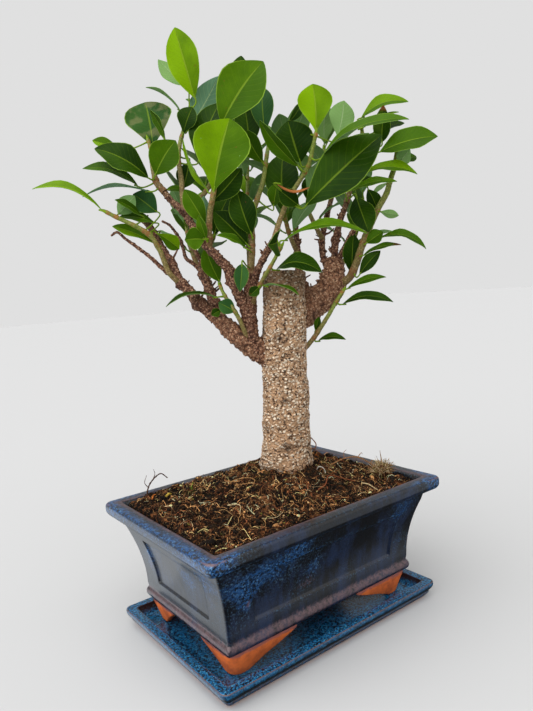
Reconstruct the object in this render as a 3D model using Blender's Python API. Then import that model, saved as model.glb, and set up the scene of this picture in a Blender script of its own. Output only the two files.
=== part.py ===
"""A potted bonsai fig on its tray: every piece at its real size, in metres, +Z up.

The origin is the middle of the tray's flat underside.  X runs along the pot's long side and the
long face at -Y is the front.  The tree has a frame of its own, turned in the pot and leaning a
little: its coordinates are side (to the right), depth (away from the front) and height, in
millimetres from the foot of the trunk.
"""
import math

import bmesh
import bpy
from mathutils import Matrix, Quaternion, Vector
from mathutils.bvhtree import BVHTree

MM = 0.001
GAP = 0.3                      # clearance between touching pieces, mm

# --- tray and pot, mm -------------------------------------------------------------------------
TRAY_HALF = (71.0, 50.5)
TRAY_CORNER = 6.0
TRAY_FLOOR = 4.5
TRAY_PROFILE = (               # offset from the rim's edge, height
    (-6.0, 0.0), (-4.6, 0.6), (-2.0, 3.6), (-2.4, 4.6), (-0.8, 5.8), (0.0, 7.4), (0.0, 9.1),
    (-0.6, 9.6), (-4.8, 9.6), (-5.4, 9.2), (-7.4, 5.2), (-8.6, TRAY_FLOOR))

POT_HALF = (75.0, 54.5)
POT_CORNER = 11.0
POT_BASE = 16.5                # underside of the body
POT_FLOOR = 21.0               # inside floor
POT_RIM = 70.0
BEAD = ((-16.0, POT_BASE), (-14.0, 17.6), (-13.4, 19.4), (-13.8, 21.2), (-14.8, 22.4))
WALL_LOW = (-14.4, 25.0)
WALL_HIGH = (-7.8, 57.0)
WALL_HOLLOW = 1.56             # how far the flared wall curves in between those two
LIP = ((-6.8, 60.4), (-5.8, 62.0), (-1.2, 63.4), (0.0, 65.4), (0.0, 68.8), (-1.0, POT_RIM))
INSIDE = ((-7.0, POT_RIM), (-8.2, 69.2), (-12.4, 60.0), (-15.8, 46.0), (-18.4, 32.0),
          (-20.0, POT_FLOOR))
PANEL_DEPTH = 1.1
PANEL_MARGIN = 15.0            # from the wall's end to the sunk panel
PANEL_EDGE = 1.2
PANEL_LEVELS = (29.0, 53.0)
FOOT_HALF = (60.2, 39.7)       # outer corner of the feet
FOOT_BOTTOM = TRAY_FLOOR + GAP
FOOT_THICK = 6.0
FOOT_CHAMFER = 3.0
FOOT_STEPS = (                 # height, how far the face is set back, arm along X, arm along Y
    (FOOT_BOTTOM, 3.4, 13.0, 12.0), (8.5, 2.4, 21.0, 16.0), (12.0, 1.4, 31.0, 21.0),
    (15.4, 0.4, 39.0, 26.0), (17.5, 0.0, 40.0, 27.0))
WALL_SPLITS = (37.0, 45.0)     # extra levels that carry the curve of the wall
DRAIN_AT = 30.0
DRAIN_RADIUS = 5.0

# --- soil and drainage mesh, mm ---------------------------------------------------------------
MESH_SIZE = 18.0
MESH_THICK = 0.8
MESH_BARS = 5
MESH_BAR_WIDTH = 1.2
SOIL_EDGE = 67.6
SOIL_SKIN = (-9.4, 66.4)       # offset and height of the soil's rounded edge
SOIL_MOUNDS = (                # x, y, spread, rise
    (20.0, 11.0, 24.0, 11.0), (-38.0, 20.0, 22.0, 6.0))
SOIL_LUMP = 0.5
SOIL_GAP = 0.35
TRUNK_FOOT = Vector((20.0, 11.0, 80.0))

# --- the trunk and right limb, mm ---------------------------------------------------------------
ROOT_TOP = -2.0                # the flare is widest here, just under the soil
ROOT_LEAST = 5.0
ROOT_TAPER = 0.42
TRUNK_RADIUS = 13.6
TRUNK_TAPER = 0.017
TRUNK_FLARE = 1.7
FLARE_RUN = 9.0
LIMB_SWELL = 1.6

# --- the tree's frame -------------------------------------------------------------------------
TREE = (Matrix.Translation(TRUNK_FOOT)
        @ Matrix.Rotation(math.radians(-36.8), 4, "Z")
        @ Matrix.Rotation(math.radians(-6.3), 4, "X")
        @ Matrix.Rotation(math.radians(4.2), 4, "Y"))

# Woody pieces: name, sides, radii at the ends, points from the parent's heart outwards.
WOOD = (
    ("trunk", 14, (15.5, 12.0), (
        (1, 1, -24), (0, 1, -10), (0, 0, 2), (-1, -3, 35), (-2, -5, 66), (-2, -8, 92), (-2, -9, 107))),
    ("limb_left", 9, (8.5, 4.6), (
        (-4, -3, 53), (-12, -5, 60), (-21, -8, 66), (-29, -10, 72), (-37, -12, 79), (-42, -13, 83))),
    ("limb_right", 9, (8.5, 6.5), (
        (2, -3, 78), (12, 2, 87), (20, 5, 93), (26, 8, 101), (28, 9, 110), (28, 9, 116))),
    ("branch_upright", 7, (4.3, 3.2), (
        (-16, -7, 59), (-20, -10, 68), (-21, -12, 83), (-21, -12, 96), (-21, -12, 105))),
    ("branch_left_long", 7, (3.5, 1.8), (
        (-21, -11, 74), (-24, -14, 86), (-29, -17, 97), (-33, -19, 107), (-39, -21, 114),
        (-44, -21, 119), (-51, -20, 129), (-57, -18, 138), (-65, -16, 146), (-68, -15, 150))),
    ("branch_left_low", 7, (3.6, 1.8), (
        (-40, -12, 81), (-49, -14, 89), (-56, -14, 97), (-61, -14, 103), (-65, -13, 111),
        (-70, -12, 119), (-74, -11, 127), (-78, -10, 133), (-83, -9, 138))),
    ("branch_left_back", 7, (3.2, 2.6), (
        (-36, -11, 78), (-41, -6, 88), (-46, -2, 101), (-49, 0, 110), (-47, 2, 117))),
    ("branch_front", 6, (2.2, 1.7), (
        (-20, -12, 93), (-17, -18, 106), (-12, -22, 115), (-8, -26, 122))),
    ("branch_right_dark", 6, (2.6, 1.6), (
        (20, 5, 92), (12, 10, 98), (8, 14, 109), (7, 18, 124), (6, 22, 139), (6, 26, 154))),
    ("branch_right_inner", 6, (2.2, 1.5), (
        (27, 9, 108), (22, 13, 120), (22, 15, 132), (25, 17, 145), (28, 19, 157))),
    ("branch_right_high", 6, (2.3, 1.6), (
        (28, 9, 111), (29, 8, 126), (31, 6, 137), (35, 6, 149))),
    ("stub_right", 6, (1.9, 1.5), (
        (28, 9, 112), (33, 4, 121), (36, 0, 128), (39, -2, 133))),
    ("twig_dead_left", 5, (1.4, 0.7), (
        (-60, -14, 102), (-68, -16, 107), (-77, -18, 115), (-88, -20, 123), (-93, -21, 127),
        (-96, -22, 125))),
    ("twig_dead_fork", 5, (1.4, 0.7), (
        (-48, 0, 107), (-54, 2, 113), (-59, 4, 117), (-61, 6, 123), (-64, 8, 130), (-69, 9, 137),
        (-74, 10, 140))),
    ("stub_left", 5, (1.3, 1.0), ((-48, 1, 113), (-52, 1, 118), (-54, 2, 123))),
)

# Leaf forms: where the blade is widest, as a power of the run from stalk to tip.
OBOVATE, ELLIPTIC, OVATE = 1.6, 1.15, 0.85
UP = None                      # a leaf that simply faces the sky

# Leafy shoots: name, radii, stem points, then one row for each leaf:
# blade foot, tip, width, turn of the face (degrees, 0 faces the front), arch, form.
SHOOTS = (
    ("shoot_left_low", (1.6, 1.0), (
        (-57, -14, 98), (-65, -18, 105), (-70, -20, 117), (-75, -22, 125), (-83, -24, 130),
        (-92, -25, 134), (-98, -26, 137)), (
        ((-99, -27, 137), (-135, -32, 148), 12, -60, 0.16, OBOVATE),
        ((-72, -16, 121), (-96, -20, 131), 9, -40, 0.06, OBOVATE),
        ((-92, -24, 136), (-84, -20, 147), 10, 160, 0.05, ELLIPTIC),
        ((-73, -12, 140), (-86, -14, 150), 14, -10, 0.05, ELLIPTIC),
        ((-74, -12, 134), (-92, -22, 137), 9, -45, 0.08, ELLIPTIC),
        ((-81, -16, 137), (-92, -20, 143), 7, -50, 0.08, ELLIPTIC),
        ((-73, -15, 128), (-61, -9, 120), 9, 20, 0.05, OBOVATE))),
    ("shoot_left_end", (1.8, 1.0), (
        (-68.4, -14.9, 150.6), (-73, -14, 156), (-75, -12, 163), (-77, -8, 172), (-78, -4, 178),
        (-80, -3, 184)), (
        ((-73, -18, 159), (-61, -24, 176), 18, 0, 0.05, ELLIPTIC),
        ((-77, -16, 158), (-104, -26, 171), 20, -35, 0.14, ELLIPTIC),
        ((-83, -14, 154), (-111, -24, 161), 12, -50, 0.16, ELLIPTIC),
        ((-76, -18, 150), (-111, -28, 147), 13, -75, 0.10, ELLIPTIC),
        ((-97, -4, 178), (-111, -6, 183), 8, -25, 0.05, ELLIPTIC),
        ((-77, -2, 179), (-83, 4, 209), 28, 0, 0.04, OBOVATE),
        ((-69, -10, 181), (-78, -12, 197), 8, 60, -0.10, ELLIPTIC),
        ((-68, -14, 152), (-58, -12, 153), 5, 30, 0.05, ELLIPTIC))),
    ("shoot_left_high", (1.6, 1.0), (
        (-56, -18, 137), (-58, -17, 146), (-59, -15, 157), (-61, -12, 169), (-61, -8, 179),
        (-59, -4, 190), (-56, 0, 202)), (
        ((-53, -2, 208), (-64, -10, 245), 19, 15, 0.04, ELLIPTIC),
        ((-59, 6, 219), (-77, 14, 238), 11, 165, 0.05, ELLIPTIC),
        ((-62, 4, 203), (-81, -2, 215), 10, -80, 0.10, ELLIPTIC),
        ((-59, -8, 185), (-53, -14, 198), 14, 20, 0.10, OBOVATE),
        ((-58, 2, 191), (-40, 4, 223), 17, 170, 0.05, ELLIPTIC),
        ((-50, -12, 169), (-38, -16, 200), 24, 35, 0.06, ELLIPTIC),
        ((-56, -6, 170), (-59, -8, 155), 12, 10, 0.05, ELLIPTIC))),
    ("shoot_front_left", (1.8, 1.0), (
        (-43, -21, 118), (-43, -24, 124), (-42, -28, 136), (-40, -31, 145), (-38, -28, 162),
        (-37, -26, 176)), (
        ((-40, -32, 145), (-31, -37, 183), 30, -5, 0.03, OBOVATE),
        ((-41, -27, 142), (-25, -30, 159), 13, -20, 0.04, ELLIPTIC),
        ((-36, -28, 183), (-14, -35, 214), 27, 10, 0.05, ELLIPTIC),
        ((-29, -10, 204), (-26, -12, 228), 12, 0, 0.05, ELLIPTIC),
        ((-45, -22, 131), (-56, -26, 149), 11, 10, 0.05, ELLIPTIC),
        ((-45, -27, 122), (-55, -31, 121), 12, 0, 0.03, ELLIPTIC),
        ((-44, -26, 122), (-48, -30, 134), 6, 30, 0.05, ELLIPTIC),
        ((-45, -16, 128), (-47, -12, 149), 9, 160, 0.05, ELLIPTIC),
        ((-43, -30, 147), (-57, -34, 172), 12, 80, 0.05, ELLIPTIC),
        ((-41, -14, 127), (-34, -8, 149), 15, 0, 0.05, ELLIPTIC))),
    ("shoot_front_low", (1.4, 0.9), (
        (-22, -9, 66), (-24, -15, 73), (-27, -17, 80), (-31, -18, 87), (-35, -16, 93),
        (-38, -12, 99)), (
        ((-39, -18, 92), (-66, -26, 87), 8, -70, 0.14, ELLIPTIC),
        ((-29, -18, 84), (-38, -20, 89), 9, -10, 0.05, ELLIPTIC),
        ((-37, -18, 85), (-42, -20, 82), 5, 0, 0.05, ELLIPTIC),
        ((-38, -10, 101), (-46, -14, 120), 11, 0, 0.05, ELLIPTIC))),
    ("shoot_centre", (2.0, 1.0), (
        (-21, -12, 105.5), (-20, -12, 119), (-20, -12, 137), (-17, -10, 148), (-14, -8, 158),
        (-12, -5, 172), (-10, -2, 186)), (
        ((-13, 4, 190), (-15, 8, 220), 14, 10, 0.05, ELLIPTIC),
        ((-14, -8, 169), (-24, -12, 186), 12, 30, 0.08, ELLIPTIC),
        ((-22, 10, 183), (-25, 12, 210), 16, 0, 0.05, ELLIPTIC),
        ((-14, 0, 173), (-22, 4, 183), 9, 0, 0.05, ELLIPTIC),
        ((-20, -18, 126), (-28, -22, 150), 15, 0, 0.05, ELLIPTIC),
        ((-21, -6, 126), (-38, 2, 153), 17, 0, 0.05, ELLIPTIC),
        ((-22, -14, 121), (-41, -12, 140), 14, -10, 0.05, ELLIPTIC),
        ((-23, -22, 118), (-38, -30, 124), 8, -55, 0.10, ELLIPTIC),
        ((-25, -26, 109), (-26, -30, 94), 8, 0, 0.03, OVATE),
        ((-8, -8, 144), (-6, -10, 157), 9, 0, 0.05, ELLIPTIC))),
    ("shoot_middle", (1.6, 1.0), (
        (-8, -25, 121.5), (-5, -18, 133), (-1, -14, 144), (4, -14, 153), (10, -16, 162),
        (12, -18, 167), (14, -20, 176), (15, -21, 181)), (
        ((15, -21, 181), (13, -25, 206), 19, 5, 0.03, OBOVATE),
        ((7, -14, 167), (0, -18, 189), 23, 0, 0.05, ELLIPTIC),
        ((1, 0, 195), (9, 4, 208), 6, -30, 0.05, ELLIPTIC),
        ((6, -22, 162), (-16, -30, 184), 10, 55, 0.06, ELLIPTIC),
        ((9, -22, 141), (48, -34, 176), 27, 20, 0.05, ELLIPTIC),
        ((17, -24, 166), (58, -37, 176), 15, 55, 0.14, ELLIPTIC),
        ((28, -10, 182), (32, -8, 204), 15, 175, 0.04, OBOVATE),
        ((-6, -26, 152), (11, -28, 150), 5, 60, -0.22, ELLIPTIC),
        ((-2, -2, 142), (-2, 6, 180), 20, 0, 0.05, ELLIPTIC),
        ((6, -18, 142), (-5, -24, 150), 10, 20, 0.05, ELLIPTIC))),
    ("shoot_front", (1.3, 0.9), (
        (-20, -12, 87), (-18, -20, 93), (-14, -23, 101), (-9, -26, 109), (-4, -28, 118)), (
        ((-3, -28, 121), (40, -38, 124), 13, 60, 0.14, ELLIPTIC),
        ((-7, -30, 122), (-10, -48, 115), 14, 70, 0.10, ELLIPTIC),
        ((-7, -24, 106), (17, -34, 104), 15, 45, 0.22, ELLIPTIC),
        ((-14, -22, 98), (5, -34, 92), 7, 75, 0.10, ELLIPTIC),
        ((-16, -24, 97), (-21, -27, 92), 6, 0, 0.05, ELLIPTIC))),
    ("shoot_right_high", (1.6, 1.0), (
        (35.2, 6, 149.6), (37, 7, 156), (39, 8, 166), (43, 9, 177), (45, 9, 189), (44, 6, 196)), (
        ((43, 2, 198), (68, -8, 205), 13, 40, 0.14, ELLIPTIC),
        ((43, -2, 191), (63, -8, 198), 7, 60, 0.06, ELLIPTIC),
        ((54, -4, 182), (53, -14, 199), 10, 25, 0.05, OVATE),
        ((50, 4, 190), (69, 4, 197), 9, 40, 0.06, ELLIPTIC),
        ((53, -2, 177), (83, -14, 183), 18, 30, 0.08, ELLIPTIC),
        ((44, 0, 165), (73, -10, 163), 12, 45, 0.14, ELLIPTIC),
        ((40, 3, 158), (50, 3, 164), 8, 30, 0.05, ELLIPTIC),
        ((40, 0, 152), (46, -8, 130), 15, 0, 0.05, ELLIPTIC),
        ((47, 2, 157), (53, 0, 144), 9, 0, 0.10, ELLIPTIC),
        ((35, -8, 153), (60, -16, 157), 9, 50, 0.10, ELLIPTIC))),
    ("shoot_right_long", (2.4, 1.3), (
        (27, 8, 99), (36, 2, 105), (40, 0, 113), (43, -2, 123), (47, -3, 133), (52, -3, 144),
        (57, -3, 153), (59, -3, 160), (62, -3, 170), (64, -2, 183)), (
        ((63, -6, 168), (70, -10, 178), 9, 170, 0.05, ELLIPTIC),
        ((66, -3, 171), (76, -2, 177), 6, 10, 0.05, ELLIPTIC),
        ((53, -5, 142), (63, -8, 139), 5, 170, 0.05, ELLIPTIC),
        ((51, -6, 126), (77, -14, 120), 10, 50, 0.20, ELLIPTIC),
        ((45, -5, 124), (54, -8, 130), 9, 20, 0.05, ELLIPTIC),
        ((43, -5, 117), (63, -12, 123), 6, 55, 0.10, ELLIPTIC),
        ((41, -5, 106), (52, -10, 119), 8, 20, 0.05, ELLIPTIC),
        ((38, 5, 108), (38, 3, 130), 11, 10, 0.05, ELLIPTIC))),
    ("shoot_right_low", (1.5, 1.0), (
        (4, -4, 58), (10, -4, 64), (15, -5, 70), (19, -6, 76), (24, -6, 84), (28, -5, 91),
        (32, -4, 97)), (
        ((17, -6, 68), (32, -14, 69), 6, 50, 0.16, ELLIPTIC),
        ((31, -6, 89), (58, -16, 90), 9, 50, 0.16, ELLIPTIC),
        ((34, -4, 98), (55, -10, 105), 7, 50, 0.10, ELLIPTIC),
        ((16, -4, 74), (18, -6, 82), 4, 0, 0.05, ELLIPTIC))),
)

# Shoots on the far side: name, radii, stem points, then count, first turn and length of leaf.
# Their leaves follow the fig's own rule, one every 137.5 degrees round the stem.
BACK_SHOOTS = (
    ("shoot_back_left", (1.6, 1.0), (
        (-47, -1, 104), (-54, 10, 116), (-60, 20, 132), (-62, 26, 150)), (7, 60, 32)),
    ("shoot_back_centre", (1.6, 1.0), (
        (-21, -12, 100), (-22, 4, 118), (-24, 22, 140), (-24, 34, 164), (-24, 40, 182)), (9, 130, 34)),
    ("shoot_back_right", (1.6, 1.0), (
        (27, 9, 106), (38, 22, 122), (46, 32, 142), (50, 38, 160)), (8, 20, 32)),
    ("shoot_back_inner", (1.6, 1.0), (
        (6, 26, 154.5), (5, 34, 170), (3, 38, 186)), (7, 200, 34)),
    ("shoot_back_high", (1.6, 1.0), (
        (28, 19, 157.5), (27, 24, 172), (24, 26, 188)), (7, 300, 32)),
    ("shoot_inner_low", (1.5, 1.0), (
        (7, 17, 122), (2, 12, 132), (-1, 8, 142), (-3, 6, 150)), (7, 170, 30)),
    ("shoot_inner_right", (1.5, 1.0), (
        (22, 14, 130), (16, 6, 138), (12, 2, 147), (14, 0, 156)), (6, 250, 27)),
    ("shoot_inner_left", (1.5, 1.0), (
        (-47, 2, 117.4), (-44, 7, 128), (-40, 11, 140)), (6, 40, 30)),
    ("shoot_back_top", (1.5, 1.0), (
        (-57, -18, 139), (-48, -4, 152), (-42, 10, 170), (-38, 18, 192)), (8, 90, 34)),
)
GOLDEN_TURN = 137.5
BLADE_STATIONS = (0.16, 0.42, 0.68, 0.88)
BLADE_THICK = 0.9
STALK_RADIUS = 0.6
STALK_LEAST = 1.5              # shortest stalk
BLADE_FOLD = 0.16              # how much the blade folds up about its midrib
BACK_STALK = 4.0
BACK_WIDTH = 0.52              # width of a far-side leaf as a share of its length
BACK_ARCH = 0.08
BACK_LIFT = (15.0, 45.0)       # upward tilt at the stem's foot, and what its tip adds, degrees
STALK_ROOT = 0.35              # the stalk's hidden end inside the stem
TIP_SETBACK = 1.3              # the highest stalk starts this far below the stem's tip
DEPTH_TRIALS = (0, -3, 3, -6, 6, -9, 9, -12, 12, -16, 16)
ROLL_TRIALS = (0, 15, -15, 30, -30)

# --- dry things lying on the soil, mm in the pot's frame ---------------------------------------
LITTER = (
    ("root_back_left", 0.8, ((-57, 38, 0.9), (-54, 41, 5), (-50, 43, 8), (-46, 41, 10), (-43, 39, 7))),
    ("root_curl", 0.8, ((38, 15, 1.3), (42, 18, 6), (48, 19, 5), (52, 22, 9), (49, 25, 14), (45, 23, 12))),
    ("root_arch", 0.8, ((40, -4, 1.7), (46, -9, 6), (53, -13, 8), (58, -18, 5), (60, -22, 1.7))),
)
TUFT_AT = (57.0, -27.0)
TUFT_SIZE = (6.5, 5.0, 4.0)
TUFT_LUMP = 0.12
TUFT_SINK = 0.45               # the lumps leave the ball this much too high
LITTER_THINS = 0.3             # share of its radius that a dry root loses towards its end
ABOVE_ALL = 150.0              # a level above the soil to measure down from


def clear_scene():
    """Remove whatever the new file came with."""
    for item in list(bpy.data.objects):
        bpy.data.objects.remove(item)


def material(name, colour, roughness):
    """A plain Principled finish."""
    mat = bpy.data.materials.new(name)
    mat.use_nodes = True
    shader = mat.node_tree.nodes["Principled BSDF"]
    shader.inputs["Base Color"].default_value = (*colour, 1.0)
    shader.inputs["Roughness"].default_value = roughness
    return mat


def solid(name, verts, faces, mat, helper=False):
    """An object from millimetre points; helpers stay out of the part."""
    mesh = bpy.data.meshes.new(name)
    mesh.from_pydata([Vector(v) * MM for v in verts], [], faces)
    mesh.materials.append(mat)
    bm = bmesh.new()
    bm.from_mesh(mesh)
    bmesh.ops.recalc_face_normals(bm, faces=bm.faces)
    bm.to_mesh(mesh)
    bm.free()
    item = bpy.data.objects.new(name, mesh)
    bpy.context.scene.collection.objects.link(item)
    if helper:
        item.hide_render = True
        item.display_type = "WIRE"
    return item


def boolean(item, other, operation):
    """Add an exact Boolean to item."""
    mod = item.modifiers.new(operation.lower(), "BOOLEAN")
    mod.solver = "EXACT"
    mod.operation = operation
    mod.object = other
    return mod


def settle_mesh(item):
    """Apply the modifiers and keep the largest body of the result."""
    graph = bpy.context.evaluated_depsgraph_get()
    mesh = bpy.data.meshes.new_from_object(item.evaluated_get(graph))
    item.modifiers.clear()
    item.data = mesh
    bm = bmesh.new()
    bm.from_mesh(mesh)
    bodies = islands(bm)
    bodies.sort(key=len)
    for body in bodies[:-1]:
        bmesh.ops.delete(bm, geom=body, context="VERTS")
    bm.to_mesh(mesh)
    bm.free()


def islands(bm):
    """The connected groups of vertices in a bmesh."""
    left = set(bm.verts)
    groups = []
    while left:
        seed = min(left, key=lambda v: v.index)
        left.discard(seed)
        group = [seed]
        queue = [seed]
        while queue:
            for edge in queue.pop().link_edges:
                for vert in edge.verts:
                    if vert in left:
                        left.discard(vert)
                        group.append(vert)
                        queue.append(vert)
        groups.append(group)
    return groups


# --- lofted vessels ---------------------------------------------------------------------------
def ring(half, corner, offset, height, marks=(), arc=4):
    """A rounded rectangle at one height: corner arcs, with extra marks along each side."""
    hx = half[0] + offset
    hy = half[1] + offset
    radius = max(corner + offset * 0.6, 1.5)
    points = []
    for quarter, (sx, sy) in enumerate(((1, 1), (-1, 1), (-1, -1), (1, -1))):
        for step in range(arc + 1):
            angle = math.radians(90 * quarter + 90 * step / arc)
            points.append((sx * (hx - radius) + radius * math.cos(angle),
                           sy * (hy - radius) + radius * math.sin(angle), height))
        along_x = quarter % 2 == 0
        reach = hx if along_x else hy
        places = [reach - mark for mark in marks] + [mark - reach for mark in reversed(marks)]
        for place in places:
            travel = place if quarter < 2 else -place
            points.append((travel, sy * hy, height) if along_x else (sx * hx, travel, height))
    return points


def loft(rings, cap_first=True, cap_last=True):
    """Join equal rings with quads and close the ends."""
    count = len(rings[0])
    verts = [p for one in rings for p in one]
    faces = []
    for level in range(len(rings) - 1):
        for i in range(count):
            j = (i + 1) % count
            faces.append((level * count + i, level * count + j,
                          (level + 1) * count + j, (level + 1) * count + i))
    if cap_first:
        faces.append(tuple(reversed(range(count))))
    if cap_last:
        faces.append(tuple(range((len(rings) - 1) * count, len(rings) * count)))
    return verts, faces


def sunk(point, half, offset, inset):
    """Move a wall point inwards by inset, square to the side that it lies on."""
    x, y, z = point
    if abs(abs(y) - (half[1] + offset)) < 0.01:
        return (x, y - math.copysign(inset, y), z)
    return (x - math.copysign(inset, x), y, z)


def wall_offset(z):
    """Offset of the flared wall at a height: a line with a hollow."""
    t = (z - WALL_LOW[1]) / (WALL_HIGH[1] - WALL_LOW[1])
    straight = WALL_LOW[0] + (WALL_HIGH[0] - WALL_LOW[0]) * t
    return straight - WALL_HOLLOW * 4 * t * (1 - t)


def build_tray(mat):
    """The glazed tray: a flat underside, a grooved wall, a flat rim and a shallow floor."""
    rings = [ring(TRAY_HALF, TRAY_CORNER, offset, z) for offset, z in TRAY_PROFILE]
    return solid("tray", *loft(rings), mat)


def build_pot(mat):
    """The pot: bead, flared wall with a sunk panel on each side, lip, hollow, drains and feet."""
    marks = (PANEL_MARGIN, PANEL_MARGIN + PANEL_EDGE)
    low, high = PANEL_LEVELS
    levels = (WALL_LOW[1], low, low + PANEL_EDGE, *WALL_SPLITS, high - PANEL_EDGE, high, WALL_HIGH[1])
    rings = [ring(POT_HALF, POT_CORNER, offset, z, marks) for offset, z in BEAD]
    per_corner = 5 + 2 * len(marks)
    for z in levels:
        offset = wall_offset(z)
        points = ring(POT_HALF, POT_CORNER, offset, z, marks)
        if low < z < high:
            for corner in range(4):
                for k in (6, 7):
                    i = corner * per_corner + k
                    points[i] = sunk(points[i], POT_HALF, offset, PANEL_DEPTH)
        rings.append(points)
    rings += [ring(POT_HALF, POT_CORNER, offset, z, marks) for offset, z in LIP + INSIDE]
    pot = solid("pot", *loft(rings), mat)
    for sx in (-1, 1):
        for sy in (-1, 1):
            boolean(pot, build_foot(sx, sy, mat), "UNION")
    for sx in (-1, 1):
        drain = disc(f"drain_cutter_{sx}", (sx * DRAIN_AT, 0), DRAIN_RADIUS, POT_BASE - 2, POT_FLOOR + 2)
        boolean(pot, drain, "DIFFERENCE")
    settle_mesh(pot)
    return pot


def build_foot(sx, sy, mat):
    """One corner foot: two arms that slope up in an ogee to the pot, and a chamfered corner."""
    rings = []
    for z, back, arm_x, arm_y in FOOT_STEPS:
        hx = FOOT_HALF[0] - back
        hy = FOOT_HALF[1] - back
        in_x = FOOT_HALF[0] - FOOT_THICK
        in_y = FOOT_HALF[1] - FOOT_THICK
        end_x = FOOT_HALF[0] - arm_x
        end_y = FOOT_HALF[1] - arm_y
        flat = ((hx - FOOT_CHAMFER, hy), (hx, hy - FOOT_CHAMFER), (hx, end_y), (in_x, end_y),
                (in_x, in_y), (end_x, in_y), (end_x, hy))
        rings.append([(sx * x, sy * y, z) for x, y in flat])
    return solid(f"foot_helper_{sx}_{sy}", *loft(rings), mat, helper=True)


def disc(name, centre, radius, low, high, sides=12):
    """A short upright cylinder used as a cutter."""
    rings = []
    for z in (low, high):
        rings.append([(centre[0] + radius * math.cos(math.tau * i / sides),
                       centre[1] + radius * math.sin(math.tau * i / sides), z) for i in range(sides)])
    return solid(name, *loft(rings), None, helper=True)


def build_screen(name, x, mat):
    """A square of plastic drainage mesh over one drain hole."""
    half = MESH_SIZE / 2
    low = POT_FLOOR + GAP
    screen = solid(name, *box((x - half, -half, low), (x + half, half, low + MESH_THICK)), mat)
    pitch = (MESH_SIZE - MESH_BAR_WIDTH) / (MESH_BARS - 1)
    cutter_verts = []
    cutter_faces = []
    for i in range(MESH_BARS - 1):
        for j in range(MESH_BARS - 1):
            x0 = x - half + MESH_BAR_WIDTH + pitch * i
            y0 = -half + MESH_BAR_WIDTH + pitch * j
            hole = pitch - MESH_BAR_WIDTH
            verts, faces = box((x0, y0, low - 1), (x0 + hole, y0 + hole, low + MESH_THICK + 1))
            start = len(cutter_verts)
            cutter_verts += verts
            cutter_faces += [tuple(start + k for k in face) for face in faces]
    boolean(screen, solid(name + "_cutter", cutter_verts, cutter_faces, mat, helper=True), "DIFFERENCE")
    settle_mesh(screen)
    return screen


def box(low, high):
    """The corners and faces of an upright box."""
    verts = [(x, y, z) for z in (low[2], high[2]) for y in (low[1], high[1]) for x in (low[0], high[0])]
    faces = [(0, 2, 3, 1), (4, 5, 7, 6), (0, 1, 5, 4), (1, 3, 7, 5), (3, 2, 6, 7), (2, 0, 4, 6)]
    return verts, faces


def soil_height(x, y):
    """Height of the soil: a mound round the trunk, a second at the back left, small lumps."""
    height = SOIL_EDGE
    for mx, my, spread, rise in SOIL_MOUNDS:
        height += rise * math.exp(-((x - mx) ** 2 + (y - my) ** 2) / (2 * spread ** 2))
    lumps = math.sin(x * 0.41 + 1.3) * math.sin(y * 0.37 + 0.4) + 0.6 * math.sin(x * 0.83 - y * 0.71)
    return height + SOIL_LUMP * lumps


def build_soil(trunk_path, trunk_radii, mat):
    """The block of soil, following the pot's hollow, with a socket for the root of the trunk."""
    rings = []
    for offset, z in reversed(INSIDE[2:]):
        low = z + SOIL_GAP + MESH_THICK + GAP if z == POT_FLOOR else z
        rings.append(ring(POT_HALF, POT_CORNER, offset - SOIL_GAP, low, arc=3))
    edge, level = SOIL_SKIN
    rings.append(ring(POT_HALF, POT_CORNER, edge - SOIL_GAP, level, arc=3))
    outline = ring(POT_HALF, POT_CORNER, edge - SOIL_GAP, 0, arc=3)
    for shrink in (0.985, 0.9, 0.74, 0.56, 0.38, 0.2):
        rings.append([(x * shrink, y * shrink, soil_height(x * shrink, y * shrink)) for x, y, _ in outline])
    soil = solid("soil", *loft(rings), mat)
    cutter = tube_solid("soil_socket", trunk_path, trunk_radii, 14, mat, grow=SOIL_GAP, helper=True)
    boolean(soil, cutter, "DIFFERENCE")
    settle_mesh(soil)
    return soil


# --- stems ------------------------------------------------------------------------------------
def smooth_path(points, step=7.0):
    """A Catmull-Rom curve through the points, sampled about every step mm."""
    pts = [Vector(p) for p in points]
    pts = [2 * pts[0] - pts[1]] + pts + [2 * pts[-1] - pts[-2]]
    curve = []
    for i in range(1, len(pts) - 2):
        a, b, c, d = pts[i - 1:i + 3]
        pieces = max(1, round((c - b).length / step))
        for k in range(pieces):
            t = k / pieces
            curve.append(0.5 * (2 * b + (c - a) * t + (2 * a - 5 * b + 4 * c - d) * t * t
                                + (3 * b - a - 3 * c + d) * t ** 3))
    curve.append(pts[-2])
    return curve


def radii_along(path, ends, name):
    """Radii from one end to the other; the trunk spreads at its foot."""
    count = len(path)
    radii = [ends[0] + (ends[1] - ends[0]) * i / (count - 1) for i in range(count)]
    if name == "trunk":
        radii = [trunk_radius(p.z) for p in path]
    if name == "limb_right":
        radii = [r + LIMB_SWELL * math.sin(math.pi * i / (count - 1)) for i, r in enumerate(radii)]
    return radii


def trunk_radius(height):
    """Radius of the trunk: a root below the soil, a flare at the soil, then a slow taper."""
    above = height - ROOT_TOP
    if above < 0:
        return max(ROOT_LEAST, TRUNK_RADIUS + TRUNK_FLARE + above * ROOT_TAPER)
    return TRUNK_RADIUS - TRUNK_TAPER * height + TRUNK_FLARE * math.exp(-above / FLARE_RUN)


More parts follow.
